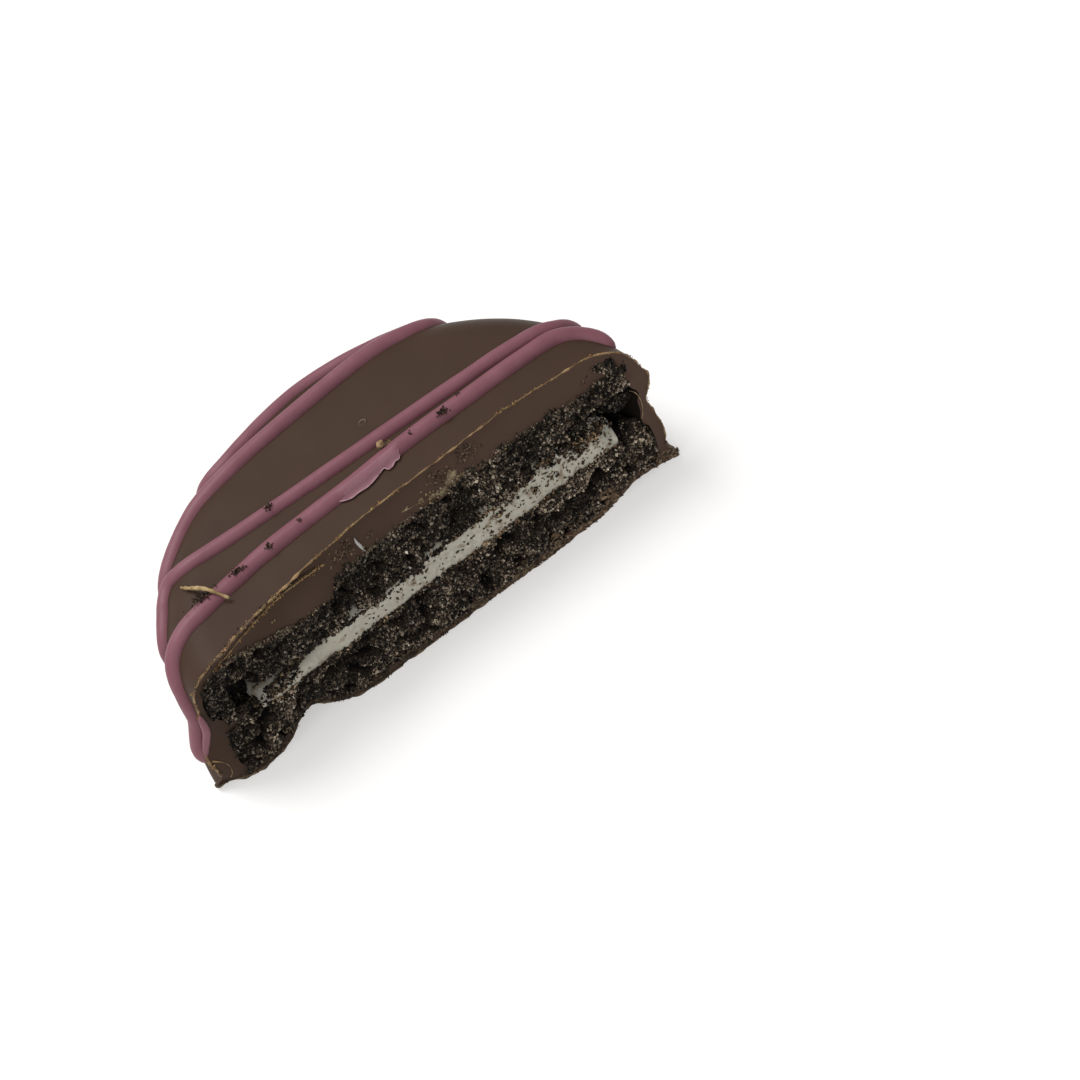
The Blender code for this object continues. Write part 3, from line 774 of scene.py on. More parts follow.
def front_cutter(material):
    """Block that takes away the front of the coat, up to its broken face."""
    build = bmesh.new()
    bmesh.ops.create_grid(build, x_segments=round(2 * CUTTER_REACH / COAT_BREAK_CELL),
                          y_segments=round((CUTTER_HIGH - CUTTER_LOW) / COAT_BREAK_CELL), size=1.0)
    for vertex in build.verts:
        x = vertex.co.x * CUTTER_REACH
        z = CUTTER_LOW + (vertex.co.y + 1.0) / 2.0 * (CUTTER_HIGH - CUTTER_LOW)
        vertex.co = (x, coat_front(x, z), z)
    return as_object(close_behind(build, 1, lambda vertex: CUTTER_FRONT), "front", material)


def cut_away(piece, cutter):
    boolean = piece.modifiers.new(cutter.name, "BOOLEAN")
    boolean.operation = "DIFFERENCE"
    boolean.solver = "EXACT"
    boolean.object = cutter
    boolean.material_mode = "TRANSFER"


def two_toned(name, low, high, roughness, gloss, pattern, bump=None, right_end_colour=None):
    """A finish patched with two colours. The pattern is a scale, a detail and a range, and the bump a
    scale and a strength. A third colour, if given, comes in towards the right end."""
    material, tree, shader = plain_shader(name, low, roughness, gloss)
    colour = blended(tree, patches(tree, *pattern), low, high)
    if right_end_colour:
        place, axes = tree.nodes.new("ShaderNodeTexCoord"), tree.nodes.new("ShaderNodeSeparateXYZ")
        tree.links.new(place.outputs["Object"], axes.inputs["Vector"])
        colour = blended(tree, ranged(tree, axes.outputs["X"], *RIGHT_END_SPAN), colour, right_end_colour)
    tree.links.new(colour, shader.inputs["Base Color"])
    if bump:
        bumped(tree, shader, bump[0], 3.0, bump[1], 0.0001)
    return material


chocolate_skin = two_toned("chocolate_skin", (0.041, 0.0240, 0.0165), (0.047, 0.0277, 0.0190), 0.45,
                           CHOCOLATE_GLOSS, CHOCOLATE_PATCHES, (700.0, 0.12))
chocolate_break = two_toned("chocolate_break", (0.044, 0.0270, 0.0188), (0.048, 0.0295, 0.0205), 0.6,
                            CHOCOLATE_GLOSS, CHOCOLATE_PATCHES, (1500.0, 0.35), (0.068, 0.0415, 0.0295))
stuck_crumb = plain_shader("stuck_crumb", (0.010, 0.0075, 0.006), 0.9, 0.05)[0]
skin = outer_skin(chocolate_skin)
cutters = [hollow_cutter(stuck_crumb), front_cutter(chocolate_break)]
for cutter in cutters:
    cut_away(skin, cutter)
coat_mesh = bpy.data.meshes.new_from_object(skin.evaluated_get(bpy.context.evaluated_depsgraph_get()))
for spare in (skin, *cutters):
    bpy.data.objects.remove(spare, do_unlink=True)
coat_build = bmesh.new()
coat_build.from_mesh(coat_mesh)


def break_outline(build):
    """Places along the sharp outline of the break, in order round it from its lowest left corner."""
    near = {}
    for edge in build.edges:
        if {face.material_index for face in edge.link_faces} == SKIN_AND_BREAK:
            first, last = edge.verts
            near.setdefault(first, []).append(last)
            near.setdefault(last, []).append(first)
    start = min(near, key=lambda vertex: vertex.co.x + vertex.co.z)
    line, seen = [start], {start}
    while True:
        ahead = [vertex for vertex in near[line[-1]] if vertex not in seen]
        if not ahead:
            break
        follower = max(ahead, key=lambda vertex: vertex.co.z) if len(line) == 1 else ahead[0]
        line.append(follower)
        seen.add(follower)
    return np.array([vertex.co[:] for vertex in line])


def spaced(line, step):
    """The same line with its points a step apart."""
    along = np.concatenate([[0.0], np.cumsum(np.linalg.norm(np.diff(line, axis=0), axis=1))])
    marks = np.arange(0.0, along[-1], step)
    return np.stack([np.interp(marks, along, line[:, axis]) for axis in range(3)], axis=1)


outline = spaced(break_outline(coat_build), OUTLINE_STEP)
coat_mesh = settle(coat_build, "chocolate_coat")
coat_mesh.set_sharp_from_angle(angle=math.radians(COAT_SHARP))
add_piece("chocolate_coat", coat_mesh, [chocolate_skin, stuck_crumb, chocolate_break], "chocolate", "coat")


# The icing: thick pink lines piped to and fro over the set coat, and down its far side.
# Each is a rounded bead half sunk in the chocolate, and some run together at the ends.
BEAD_SINK = 0.18
BEAD_STEP = 0.35
BEAD_SIDES = 6
BEAD_TIP = 2.4
BEAD_SWELL = 0.06
PROBE = 0.3
# Each line is its radius and its route over the rolled-out coat
DRIZZLE_ROUTES = {
    "icing_back": (0.76, ((-16.8, 26.6), (-14.6, 24.4), (-12.2, 22.0), (-9.6, 20.8), (-6.6, 21.3),
                          (-3.8, 21.9), (0.8, 22.4), (4.7, 21.7), (8.5, 20.6), (11.0, 20.2),
                          (12.7, 21.0), (13.9, 23.0), (14.6, 25.6))),
    "icing_second": (0.86, ((-23.8, 16.4), (-20.4, 15.4), (-17.7, 16.3), (-15.4, 17.5), (-13.4, 18.4),
                            (-11.7, 18.7), (-10.1, 18.9), (-7.6, 19.3), (-5.3, 19.6), (-0.6, 19.9),
                            (4.0, 20.0), (8.3, 19.9), (10.8, 19.6), (13.0, 19.8), (15.2, 21.0),
                            (17.2, 23.2), (19.0, 26.0))),
    "icing_third": (0.76, ((-25.6, 9.8), (-23.2, 9.9), (-21.4, 11.2), (-20.4, 12.7), (-19.0, 13.5),
                           (-17.6, 13.1), (-15.6, 12.7), (-11.7, 12.4), (-5.8, 12.2), (-1.7, 12.0),
                           (2.5, 11.6), (6.5, 11.2), (10.4, 10.9), (14.5, 10.7), (18.4, 10.3),
                           (20.1, 10.1), (22.8, 10.6), (26.2, 12.0), (29.8, 13.6))),
    "icing_front": (0.88, ((-33.0, 4.4), (-30.4, 5.0), (-27.2, 5.2), (-24.6, 5.9), (-22.4, 7.0),
                           (-20.3, 7.5), (-18.5, 7.7), (-16.2, 8.1), (-14.1, 8.4), (-12.0, 8.7),
                           (-7.8, 9.0), (-3.5, 9.2), (0.9, 9.3), (5.1, 9.2), (9.1, 9.0), (13.2, 9.0),
                           (17.4, 8.9), (19.3, 8.6), (21.0, 7.9), (22.3, 6.9), (23.2, 5.6))),
    "icing_left_drip": (0.34, ((-26.4, 3.0), (-28.0, 3.1), (-30.0, 3.4), (-31.6, 3.8))),
}
profile = coat_profile()
profile_lengths = [0.0] + list(np.cumsum([math.dist(a, b) for a, b in zip(profile, profile[1:])]))


def on_coat(u, v, sink=0.0):
    """Point on the coat at a place of the rolled-out coat, sunk a little where it is flat."""
    angle = math.atan2(v, u)
    along = math.hypot(u, v)
    radii, heights = zip(*profile)
    radius, beyond = np.interp((along, along + PROBE), profile_lengths, radii)
    height, below = np.interp((along, along + PROBE), profile_lengths, heights)
    flat = (beyond - radius) / math.hypot(beyond - radius, below - height)
    radius = coat_radius(radius, angle, height)
    return (radius * math.cos(angle), radius * math.sin(angle), height - sink * flat)


def add_rod(name, points, radii, sides, material, slot, *nodes):
    """Adds a round rod through the points, in millimetres, with a radius at each."""
    curve = bpy.data.curves.new(name, "CURVE")
    curve.dimensions = "3D"
    curve.bevel_depth = 1.0
    curve.bevel_resolution = sides
    curve.use_fill_caps = True
    spline = curve.splines.new("POLY")
    spline.points.add(len(points) - 1)
    for knot, point, radius in zip(spline.points, points, radii):
        knot.co = (*point, 1.0)
        knot.radius = radius
    guide = bpy.data.objects.new(name, curve)
    bpy.context.scene.collection.objects.link(guide)
    mesh = bpy.data.meshes.new_from_object(guide.evaluated_get(bpy.context.evaluated_depsgraph_get()))
    bpy.data.objects.remove(guide, do_unlink=True)
    build = bmesh.new()
    build.from_mesh(mesh)
    bmesh.ops.remove_doubles(build, verts=build.verts, dist=MERGE)
    bmesh.ops.recalc_face_normals(build, faces=build.faces)
    add_solid(name, build, material, slot, *nodes)


def add_bead(name, thickness, route):
    """Adds an icing line: a rod sunk in the coat, a little uneven, that tapers off at its ends."""
    points = [on_coat(u, v, BEAD_SINK) for u, v in smooth_route(route, BEAD_STEP)]
    radii = []
    for index, point in enumerate(points):
        end = min(index, len(points) - 1 - index) * BEAD_STEP
        tip = math.sqrt(max(0.03, 1.0 - (1.0 - min(end / BEAD_TIP, 1.0)) ** 2))
        swell = 1.0 + BEAD_SWELL * noise.noise(Vector(point) / 3.5)
        radii.append(thickness * swell * tip)
    add_rod(name, points, radii, BEAD_SIDES, pink_icing, "chocolate", "coat")


pink_icing = two_toned("pink_icing", (0.150, 0.053, 0.071), (0.176, 0.067, 0.086), 0.5, 0.25,
                       (500.0, 3.0, 0.3, 0.7), (1800.0, 0.18))
for name, (thickness, route) in DRIZZLE_ROUTES.items():
    add_bead(name, thickness, route)


# The torn flap: icing as thin as skin, peeled from the front line and laid over the chocolate.
# Its torn edge is curled up and paler, as the icing is where it is thinnest.
FLAP_LINE = 9.2
FLAP_LINE_RADIUS = 0.90
# The torn edge, over the rolled-out coat
FLAP_EDGE = ((-5.2, 8.9), (-4.6, 8.55), (-4.1, 8.35), (-3.5, 8.0), (-3.0, 7.9), (-2.4, 7.95), (-1.6, 7.85),
             (-0.9, 7.95), (-0.1, 8.15), (0.6, 8.35), (0.8, 7.95), (1.2, 7.9), (1.7, 8.15), (2.1, 8.1),
             (2.5, 8.6), (2.9, 8.9))
FLAP_SKIN = 0.07
FLAP_GRID = (60, 7)
FLAP_CURL = 0.10
FLAP_RIM_HEIGHT = 0.20


def icing_flap():
    """A fine grid from the line's crest down to the torn edge."""
    build = bmesh.new()
    places, edges = zip(*FLAP_EDGE)
    bmesh.ops.create_grid(build, x_segments=FLAP_GRID[0], y_segments=FLAP_GRID[1], size=1.0)
    for vertex in build.verts:
        u = (places[0] + places[-1]) / 2 + vertex.co.x * (places[-1] - places[0]) / 2
        share = (1.0 - vertex.co.y) / 2
        ragged = 0.05 * noise.noise(Vector((u * 4.0, 1.7, 0.3)))
        v = FLAP_LINE + share * (float(np.interp(u, places, edges)) + ragged - FLAP_LINE)
        x, y, z = on_coat(u, v)
        off_crest = min(FLAP_LINE - v, FLAP_LINE_RADIUS)
        crest = math.sqrt(max(0.0, FLAP_LINE_RADIUS ** 2 - off_crest ** 2)) - BEAD_SINK
        slope = max(0.04, crest * (1.0 - 0.35 * share))
        vertex.co = (x, y, z + slope + 0.03 + FLAP_CURL * share ** 3)
    return close_behind(build, 2, lambda vertex: vertex.co.z - FLAP_SKIN)


torn_icing = two_toned("torn_icing", (0.185, 0.080, 0.103), (0.225, 0.107, 0.133), 0.6, 0.2,
                       (600.0, 3.0, 0.35, 0.7))
pale_icing = plain_shader("pale_icing", (0.40, 0.25, 0.285), 0.6, 0.2)[0]
add_solid("icing_flap", icing_flap(), torn_icing, "chocolate")
flap_rim = [on_coat(u, v) for u, v in smooth_route(FLAP_EDGE[1:-1], 0.15)]
flap_rim = [(x, y, z + FLAP_RIM_HEIGHT) for x, y, z in flap_rim]
flap_radii = [0.035 + 0.03 * noise.noise(Vector((i * 0.4, 0.3, 6.1))) for i in range(len(flap_rim))]
add_rod("icing_flap_rim", flap_rim, flap_radii, 1, pale_icing, "chocolate")


# The burr: where the coat snapped, a thin ragged edge of it was drawn out and stands paler.
# It runs all round the break, golden along the top and flaking brown along the foot.
BURR_TOP = 12.6
BURR_FOOT = 2.2
BURR_STEP = 0.2
# Left of here the top edge is crumbled as well
CRUMBLED = -14.0
GOLD_TINTS = ((0.24, 0.135, 0.050), (0.32, 0.20, 0.085), (0.15, 0.085, 0.035))
TAN_TINTS = ((0.32, 0.21, 0.125), (0.20, 0.125, 0.070), (0.12, 0.072, 0.042))
FOOT_TINTS = ((0.105, 0.068, 0.040), (0.064, 0.041, 0.025), (0.15, 0.105, 0.065), (0.034, 0.022, 0.014))
BROWN_TINTS = ((0.040, 0.026, 0.018), (0.085, 0.054, 0.034), (0.15, 0.10, 0.062))
RIDGE_TINTS = ((0.17, 0.13, 0.088), (0.10, 0.075, 0.050), (0.25, 0.20, 0.14), (0.05, 0.036, 0.025))
# Threads and cracks over the break: places along it and up it
HOLLOW_EDGE = ((21.9, 9.2), (22.4, 8.6), (22.6, 8.0), (22.65, 7.2), (22.5, 6.3), (22.1, 5.7))
SCRAPE = ((-0.6, 12.95), (0.6, 12.85), (1.4, 12.6), (2.4, 12.6), (3.4, 12.35))
CORNER_THREAD = ((-24.6, 3.7), (-24.0, 3.2), (-23.6, 2.4), (-23.6, 1.5), (-23.9, 0.8))
STRAND = ((-8.6, 13.5), (-10.0, 13.68), (-11.4, 13.85), (-12.9, 13.93), (-14.5, 13.88), (-15.6, 13.78),
          (-16.8, 13.62), (-18.2, 13.35), (-19.6, 12.9), (-20.8, 12.3))
CRACK = ((-9.2, 13.75), (-10.2, 13.9), (-11.4, 14.02), (-12.9, 14.08), (-14.5, 14.03), (-15.8, 13.93))
# Flat plates of coat that lie on the break: middle, half-sizes, turn
PLATES = ((4.45, 12.65, 0.62, 0.36, 0.5), (5.5, 12.35, 0.26, 0.20, 0.0), (3.3, 12.35, 0.38, 0.14, 0.3),
          (2.3, 12.55, 0.34, 0.10, 0.2), (1.4, 12.8, 0.26, 0.08, 0.1), (-0.1, 12.85, 0.20, 0.07, 0.3),
          (-14.2, 11.3, 0.34, 0.12, 0.5), (-17.0, 11.5, 0.36, 0.12, 0.3),
          (6.0, 0.45, 0.45, 0.20, 0.2), (10.2, 0.55, 0.60, 0.30, 0.1), (12.9, 0.4, 0.45, 0.22, 0.4),
          (15.2, 0.5, 0.80, 0.28, 0.2), (18.0, 0.6, 0.62, 0.36, 0.3), (20.6, 0.7, 0.50, 0.30, 0.0))
PLATE_SIDES = 18
PLATE_SKIN = 0.12
TAN_PATCHES = (1300.0, 4.0, 0.38, 0.62)


def worn_material(name, low, high, roughness):
    """A drawn-out edge of the coat: uneven between two tans."""
    return two_toned(name, low, high, roughness, 0.2, TAN_PATCHES)


def add_burr(name, line, material, thickness, stray, seed):
    """Adds a thin ragged thread along a line, thicker and thinner as it was drawn out."""
    points, radii = [], []
    for index, point in enumerate(line):
        mark = index * BURR_STEP
        wander = [stray * noise.noise(Vector((mark * 0.9, axis * 9.1, seed))) for axis in range(3)]
        fine = noise.noise(Vector((mark * 1.6, 3.3, seed)))
        points.append((point[0] + wander[0], point[1] - abs(wander[1]), point[2] + wander[2]))
        radii.append(thickness * max(0.25, 0.8 + 1.2 * fine) * (1.0 + 0.5 * smooth_step(-3, -15, point[0])))
    add_rod(name, points, radii, 1, material, "chocolate")


def stretch(line, chosen):
    """The chosen part of a closed line, in one run."""
    first = next(i for i in range(len(line)) if chosen[i] and not chosen[i - 1])
    return np.roll(line, -first, axis=0)[np.roll(chosen, -first)]


def edge_flakes(line, count, sizes, tints, stray, seed):
    """Flakes and dust of chocolate along a line, in loose clusters."""
    draw = random.Random(seed)
    bits = []
    while len(bits) < count:
        point = line[draw.randrange(len(line))]
        if noise.noise(Vector(point) / 1.3 + Vector((seed, 0, 0))) + draw.uniform(-0.5, 0.5) < -0.05:
            continue
        size = draw.uniform(*sizes)
        radii = (size * draw.uniform(0.7, 1.6), size * draw.uniform(0.25, 0.6), size)
        middle = tuple(value + draw.gauss(0.0, stray) for value in point)
        colour = tuple(channel * draw.uniform(0.8, 1.2) for channel in draw.choice(tints))
        bits.append((middle, radii, any_turn(draw), colour))
    return bits


golden_burr = worn_material("golden_burr", (0.13, 0.078, 0.038), (0.27, 0.175, 0.085), 0.55)
tan_burr = worn_material("tan_burr", (0.11, 0.070, 0.038), (0.26, 0.175, 0.10), 0.7)
foot_burr = worn_material("foot_burr", (0.060, 0.040, 0.026), (0.16, 0.115, 0.072), 0.7)
# Painted shade: a near-black thread laid where the crack's shadow is.
crack_painted_shade = worn_material("crack_painted_shade", (0.010, 0.006, 0.004), (0.022, 0.013, 0.009), 0.9)
plate_tan = worn_material("plate_tan", (0.085, 0.058, 0.036), (0.21, 0.165, 0.10), 0.75)
burr_dust = tinted_material("burr_dust", 0.7, 5000.0)
left_side, heights = outline[:, 0] < 0, outline[:, 2]
top_line = stretch(outline, heights > BURR_TOP)
foot_line = stretch(outline, heights < BURR_FOOT)
right_line = stretch(outline, ~left_side & (heights <= BURR_TOP) & (heights >= BURR_FOOT))
left_line = stretch(outline, left_side & (heights <= BURR_TOP) & (heights >= BURR_FOOT))


def on_break(places):
    """A line over the broken chocolate through places along it and up it."""
    route = [(x, coat_front(x, z) - 0.04, z) for x, z in smooth_route(places, 0.4)]
    return spaced(np.array(route), BURR_STEP)


strand_line, crack_line = on_break(STRAND), on_break(CRACK)
for burr in (("burr_top", top_line, golden_burr, 0.070, 0.10, 1.3),
             ("burr_strand", strand_line, golden_burr, 0.048, 0.10, 2.9),
             ("burr_crack", crack_line, crack_painted_shade, 0.050, 0.06, 2.4),
             ("burr_hollow", on_break(HOLLOW_EDGE), tan_burr, 0.055, 0.08, 3.3),
             ("burr_corner", on_break(CORNER_THREAD), golden_burr, 0.040, 0.05, 3.9),
             ("burr_scrape", on_break(SCRAPE), tan_burr, 0.035, 0.20, 3.6),
             ("burr_right", right_line, tan_burr, 0.085, 0.12, 4.1),
             ("burr_left", left_line, golden_burr, 0.060, 0.12, 5.3),
             ("burr_foot", foot_line, foot_burr, 0.10, 0.12, 7.7)):
    add_burr(*burr)


def thin_plates():
    """Ragged flat plates lying on the broken chocolate, curled up a little at their edges."""
    build = bmesh.new()
    for index, (x, z, half_width, half_height, turn) in enumerate(PLATES):
        made = bmesh.ops.create_circle(build, cap_ends=True, radius=1.0, segments=PLATE_SIDES)
        faces = {face for vertex in made["verts"] for face in vertex.link_faces}
        made = bmesh.ops.poke(build, faces=list(faces))
        corners = {vertex for face in made["faces"] for vertex in face.verts}
        shift = Vector((0, 0, 3.7 * index))
        for vertex in corners:
            ragged = 1.0 + 1.4 * noise.noise(vertex.co * 2.6 + shift)
            across, up = vertex.co.x * ragged * half_width, vertex.co.y * ragged * half_height
            side = x + across * math.cos(turn) - up * math.sin(turn)
            level = max(0.05, z + across * math.sin(turn) + up * math.cos(turn))
            lift = abs(noise.noise(vertex.co * 2.3 + Vector((9, 0, index))))
            curl = 0.05 + 0.10 * vertex.co.length * lift
            vertex.co = (side, coat_front(side, level) - curl, level)
    return close_behind(build, 1, lambda vertex: vertex.co.y + PLATE_SKIN)


add_solid("thin_plates", thin_plates(), plate_tan, "chocolate")


def foot_flakes(count, seed):
    """Flat flakes over the thin chocolate under the lower wafer, tan at the right, brown at the left."""
    draw = random.Random(seed)
    bits = []
    while len(bits) < count:
        x = draw.uniform(-23.0, 24.0)
        z = abs(draw.gauss(0.0, 0.42 + 0.25 * smooth_step(0.0, 14.0, x))) + 0.04
        if noise.noise(Vector((x / 1.6, z / 0.8, 3.7))) < draw.uniform(-0.45, 0.15):
            continue
        size = draw.uniform(0.07, 0.26 + 0.12 * smooth_step(0.0, 14.0, x))
        radii = (size * draw.uniform(0.8, 1.5), 0.05, size * draw.uniform(0.4, 0.8))
        turn = (draw.gauss(0.0, 0.3), draw.gauss(0.0, 0.6), draw.gauss(0.0, 0.3))
        glow = draw.uniform(0.8, 1.3) * (0.5 + 0.7 * smooth_step(-8.0, 10.0, x))
        colour = tuple(channel * glow for channel in draw.choice(FOOT_TINTS))
        bits.append(((x, coat_front(x, z) - 0.02, z), radii, turn, colour))
    return bits


def ridge_line(start, end):
    return on_break([(x, upper_top(x) + 0.2) for x in np.arange(start, end, 0.8)])


crumbled_line = top_line[top_line[:, 0] < CRUMBLED]
flakes = (edge_flakes(top_line, 420, (0.03, 0.09), GOLD_TINTS, 0.06, 21)
          + edge_flakes(crumbled_line, 150, (0.03, 0.11), TAN_TINTS, 0.07, 30)
          + edge_flakes(crumbled_line, 180, (0.04, 0.12), BROWN_TINTS, 0.10, 31)
          + edge_flakes(strand_line, 260, (0.03, 0.10), GOLD_TINTS, 0.10, 22)
          + edge_flakes(crack_line, 120, (0.03, 0.08), BROWN_TINTS, 0.08, 29)
          + edge_flakes(right_line, 140, (0.03, 0.09), TAN_TINTS, 0.05, 23)
          + edge_flakes(left_line, 220, (0.03, 0.10), GOLD_TINTS, 0.08, 24)
          + edge_flakes(foot_line, 420, (0.05, 0.14), FOOT_TINTS, 0.06, 25)
          + edge_flakes(ridge_line(-22.0, -12.4), 900, (0.04, 0.12), RIDGE_TINTS, 0.13, 26)
          + edge_flakes(ridge_line(-12.0, 22.0), 700, (0.03, 0.09), RIDGE_TINTS, 0.16, 28)
          + foot_flakes(2600, 27))
add_bits("burr_flakes", flakes, burr_dust, "chocolate")


# Loose bits from the break: crumbs and a sliver of wafer that fell on the icing and the chocolate.
# Each cluster is its place, spread, number of grains and colours; they only rest on the coat.
DARK_TINTS = ((0.014, 0.008, 0.006), (0.034, 0.020, 0.014), (0.070, 0.041, 0.025))
RUST_TINTS = ((0.18, 0.11, 0.050), (0.25, 0.17, 0.090), (0.10, 0.060, 0.030))
FLAKE_TINTS = ((0.22, 0.175, 0.11), (0.30, 0.245, 0.16), (0.13, 0.095, 0.058))
WHITE_TINTS = ((0.50, 0.48, 0.45), (0.42, 0.40, 0.38))
CLUSTERS = (((-17.8, 8.5, 15.0), (0.50, 0.20, 0.10), 110, DARK_TINTS),
            ((7.4, 9.0, 15.0), (0.26, 0.17, 0.08), 80, DARK_TINTS),
            ((9.4, 9.5, 14.85), (0.15, 0.13, 0.07), 30, DARK_TINTS),
            ((4.2, 9.2, 14.95), (0.12, 0.10, 0.05), 14, DARK_TINTS),
            ((-8.7, 12.1, 14.9), (0.16, 0.12, 0.05), 26, DARK_TINTS),
            ((-7.7, 8.9, 15.0), (0.08, 0.08, 0.04), 8, DARK_TINTS),
            ((-11.0, 8.6, 14.95), (0.15, 0.17, 0.05), 30, DARK_TINTS),
            ((-14.3, 8.5, 14.95), (0.32, 0.14, 0.06), 64, DARK_TINTS),
            ((2.4, 10.0, 14.75), (0.15, 0.12, 0.05), 14, RUST_TINTS))
# Crumbs on the slope of the break: place along it, height, spread, number, colours
SLOPE_CLUSTERS = ((6.7, 13.55, 0.55, 90, BROWN_TINTS), (3.6, 13.4, 0.50, 70, BROWN_TINTS),
                  (-6.4, 13.25, 0.70, 110, BROWN_TINTS), (-3.7, 13.0, 0.22, 16, BROWN_TINTS),
                  (4.6, 12.5, 0.34, 24, FLAKE_TINTS), (5.3, 12.3, 0.34, 40, RUST_TINTS),
                  (2.8, 12.5, 0.40, 20, FLAKE_TINTS), (1.6, 12.6, 0.50, 14, RUST_TINTS),
                  (-14.6, 12.6, 0.10, 8, RUST_TINTS), (18.4, 12.6, 0.15, 10, BROWN_TINTS),
                  (9.3, 0.9, 0.45, 60, RIDGE_TINTS), (-22.2, 7.6, 0.06, 4, WHITE_TINTS),
                  (7.7, 1.6, 0.05, 4, WHITE_TINTS), (-20.9, 9.9, 0.05, 3, WHITE_TINTS))
GOLDEN_SLIVER = ((-18.5, 11.3, 14.15), (-18.1, 10.4, 14.5), (-17.6, 9.4, 15.0), (-17.1, 8.4, 15.2),
                 (-16.6, 7.5, 14.9), (-16.2, 6.9, 14.55))
GOLDEN_RADIUS = 0.17
PALE_SLIVER = ((-5.1, 13.5), (-5.15, 13.15), (-5.05, 12.8), (-5.0, 12.5), (-4.9, 12.25))
PALE_RADII = (0.04, 0.11)
# The chunk is its middle and its radii, and the air dimple its place and its radius
CHUNK = ((1.75, 10.15, 14.95), (0.36, 0.30, 0.40))
DIMPLE = (2.2, 14.0, 0.34)
DIMPLE_STEPS = 24
DIMPLE_RADII = (0.07, 0.05)


def fallen_bits():
    draw = random.Random(77)
    bits = []
    for middle, spread, count, tints in CLUSTERS:
        for _ in range(count):
            place = tuple(value + draw.gauss(0.0, size) for value, size in zip(middle, spread))
            radii = tuple(draw.uniform(0.04, 0.12) for _ in range(3))
            bits.append((place, radii, any_turn(draw), draw.choice(tints)))
    for x, z, spread, count, tints in SLOPE_CLUSTERS:
        for _ in range(count):
            side, level = x + draw.gauss(0.0, spread), z + draw.gauss(0.0, 0.45 * spread)
            radii = tuple(draw.uniform(0.04, 0.13) for _ in range(3))
            place = (side, coat_front(side, level) - 0.04, level)
            bits.append((place, radii, any_turn(draw), draw.choice(tints)))
    return bits


add_bits("fallen_crumbs", fallen_bits(), burr_dust, "dark_wafer")
sliver_line = spaced(np.array(smooth_route(GOLDEN_SLIVER, 0.3)), 0.2)
sliver_radii = [GOLDEN_RADIUS * (0.6 + 0.5 * math.sin(math.pi * (i + 1) / (len(sliver_line) + 1))
                                 + 0.5 * noise.noise(Vector((i * 0.5, 0.2, 8.8))))
                for i in range(len(sliver_line))]
sliver_gold = worn_material("sliver_gold", (0.20, 0.13, 0.055), (0.36, 0.26, 0.13), 0.7)
add_rod("golden_sliver", sliver_line, sliver_radii, 1, sliver_gold, "dark_wafer")

pale_line = [(x, coat_front(x, z) - 0.08, z) for x, z in smooth_route(PALE_SLIVER, 0.2)]
pale_radii = [PALE_RADII[0] + PALE_RADII[1] * math.sin(math.pi * i / (len(pale_line) - 1))
              for i in range(len(pale_line))]
pale_finish = worn_material("pale_sliver", (0.25, 0.24, 0.23), (0.36, 0.35, 0.34), 0.5)
add_rod("pale_sliver", pale_line, pale_radii, 1, pale_finish, "cream_filling")

chunk_build = bmesh.new()
bmesh.ops.create_icosphere(chunk_build, subdivisions=3, radius=1.0)
for vertex in chunk_build.verts:
    rough = 1.0 + 0.55 * noise.noise(vertex.co * 1.6) + 0.25 * noise.noise(vertex.co * 4.5)
    vertex.co = [middle + value * rough * size for middle, value, size in zip(CHUNK[0], vertex.co, CHUNK[1])]
chunk_tan = worn_material("chunk_tan", (0.14, 0.085, 0.042), (0.30, 0.20, 0.11), 0.8)
add_solid("tan_chunk", chunk_build, chunk_tan, "dark_wafer")

dimple_u, dimple_v, dimple_size = DIMPLE
turns = [step * math.tau / DIMPLE_STEPS for step in range(DIMPLE_STEPS + 1)]
dimple_ring = [on_coat(dimple_u + dimple_size * math.cos(turn), dimple_v + 0.8 * dimple_size * math.sin(turn))
               for turn in turns]
dimple_radii = [DIMPLE_RADII[0] + DIMPLE_RADII[1] * math.sin(turn + 1.0) for turn in turns]
dimple_edge = worn_material("dimple_edge", (0.062, 0.040, 0.027), (0.10, 0.070, 0.050), 0.6)
add_rod("air_dimple", dimple_ring, dimple_radii, 1, dimple_edge, "chocolate")


# The table, the light and the camera: a white sheet, a broad soft light from behind with two
# weaker ones to fill the shadows, and a long lens that looks down on the break.
FLOOR_REACH = 1.5
CAMERA_PLACE = (-0.049805, -0.158725, 0.195032)
CAMERA_TARGET = (0.0086656, -0.0129405, 0.005)
CAMERA_ROLL = -19.198
CAMERA_LENS = 97.62
CAMERA_SENSOR = 36.0
SHEET_GLOW = 0.38
ROOM_LIGHT = 0.52

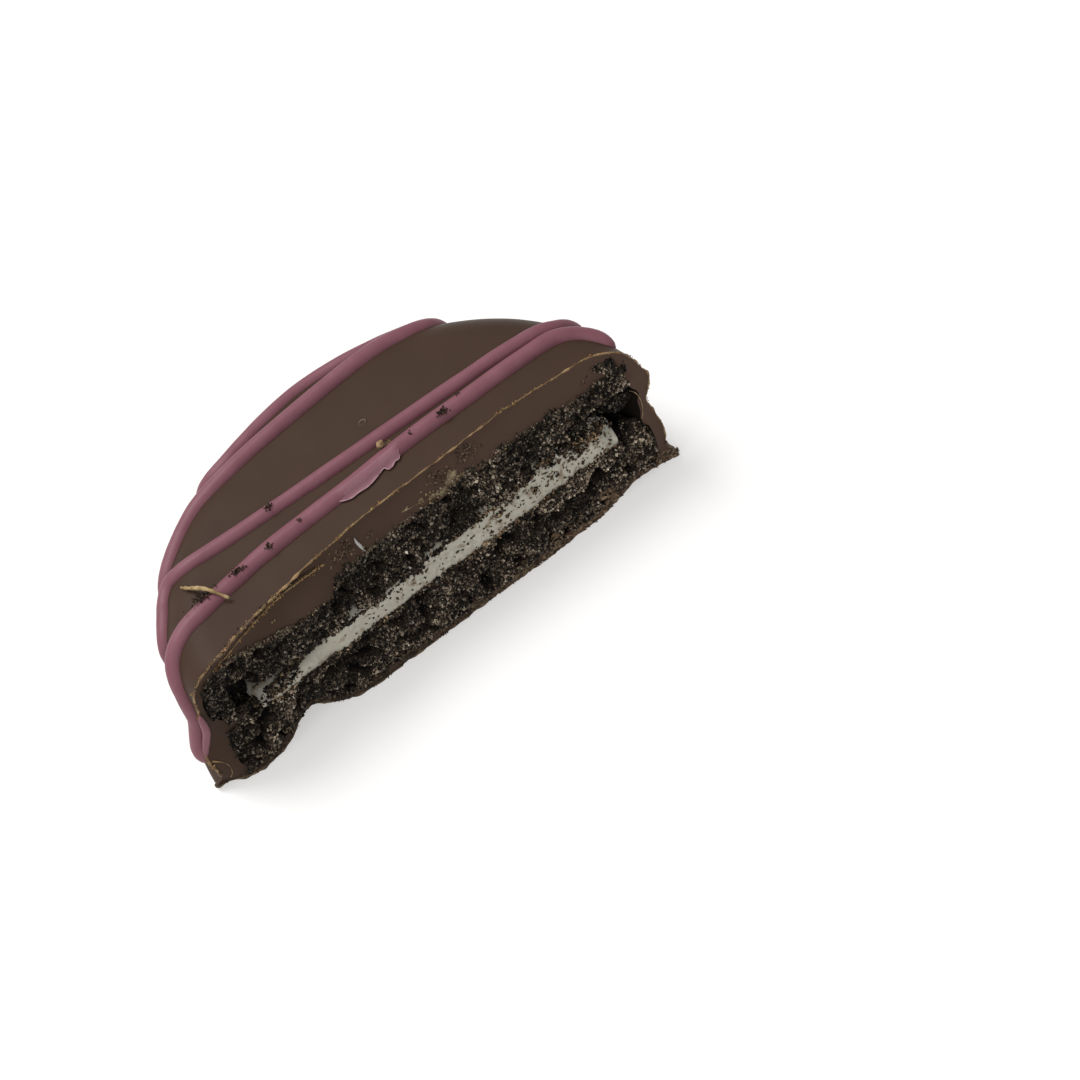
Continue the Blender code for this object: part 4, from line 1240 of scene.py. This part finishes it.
floor_build = bmesh.new()
bmesh.ops.create_circle(floor_build, cap_ends=True, radius=FLOOR_REACH, segments=96)
floor_mesh = bpy.data.meshes.new("floor")
floor_build.to_mesh(floor_mesh)
floor_build.free()
floor = bpy.data.objects.new("floor", floor_mesh)
bpy.context.scene.collection.objects.link(floor)
white_sheet, _, sheet_shader = plain_shader("white_sheet", (0.56, 0.56, 0.56), 0.9, 0.0)
sheet_shader.inputs["Emission Color"].default_value = (1.0, 0.975, 0.955, 1.0)
sheet_shader.inputs["Emission Strength"].default_value = SHEET_GLOW
floor_mesh.materials.append(white_sheet)


def soft_light(name, place, size, power, colour):
    """A round light that faces the cookie."""
    light = bpy.data.lights.new(name, "AREA")
    light.shape = "DISK"
    light.size = size
    light.energy = power
    light.color = colour
    lamp = bpy.data.objects.new(name, light)
    bpy.context.scene.collection.objects.link(lamp)
    lamp.location = place
    lamp.rotation_euler = (-Vector(place)).to_track_quat("-Z", "Y").to_euler()


# Each light is its place, its size, its power and its colour
soft_light("light_behind", (-0.16, 0.30, 0.50), 0.40, 3.3, (1.0, 0.99, 0.97))
soft_light("light_front", (-0.12, -0.42, 0.46), 0.45, 0.9, (1.0, 0.99, 0.97))
soft_light("light_left", (-0.50, -0.05, 0.30), 0.35, 0.6, (1.0, 1.0, 1.0))
world = bpy.data.worlds.new("studio")
bpy.context.scene.world = world
world.use_nodes = True
background = world.node_tree.nodes["Background"]
background.inputs["Color"].default_value = (1.0, 1.0, 1.0, 1.0)
background.inputs["Strength"].default_value = ROOM_LIGHT

camera_data = bpy.data.cameras.new("camera")
camera_data.lens = CAMERA_LENS
camera_data.sensor_width = CAMERA_SENSOR
camera_data.clip_start = 0.01
camera = bpy.data.objects.new("camera", camera_data)
bpy.context.scene.collection.objects.link(camera)
camera.location = CAMERA_PLACE
aim = (Vector(CAMERA_TARGET) - Vector(CAMERA_PLACE)).to_track_quat("-Z", "Y").to_matrix()
camera.rotation_euler = (aim @ Matrix.Rotation(math.radians(CAMERA_ROLL), 3, "Z")).to_euler()
bpy.context.scene.camera = camera
bpy.context.scene.view_settings.view_transform = "Standard"
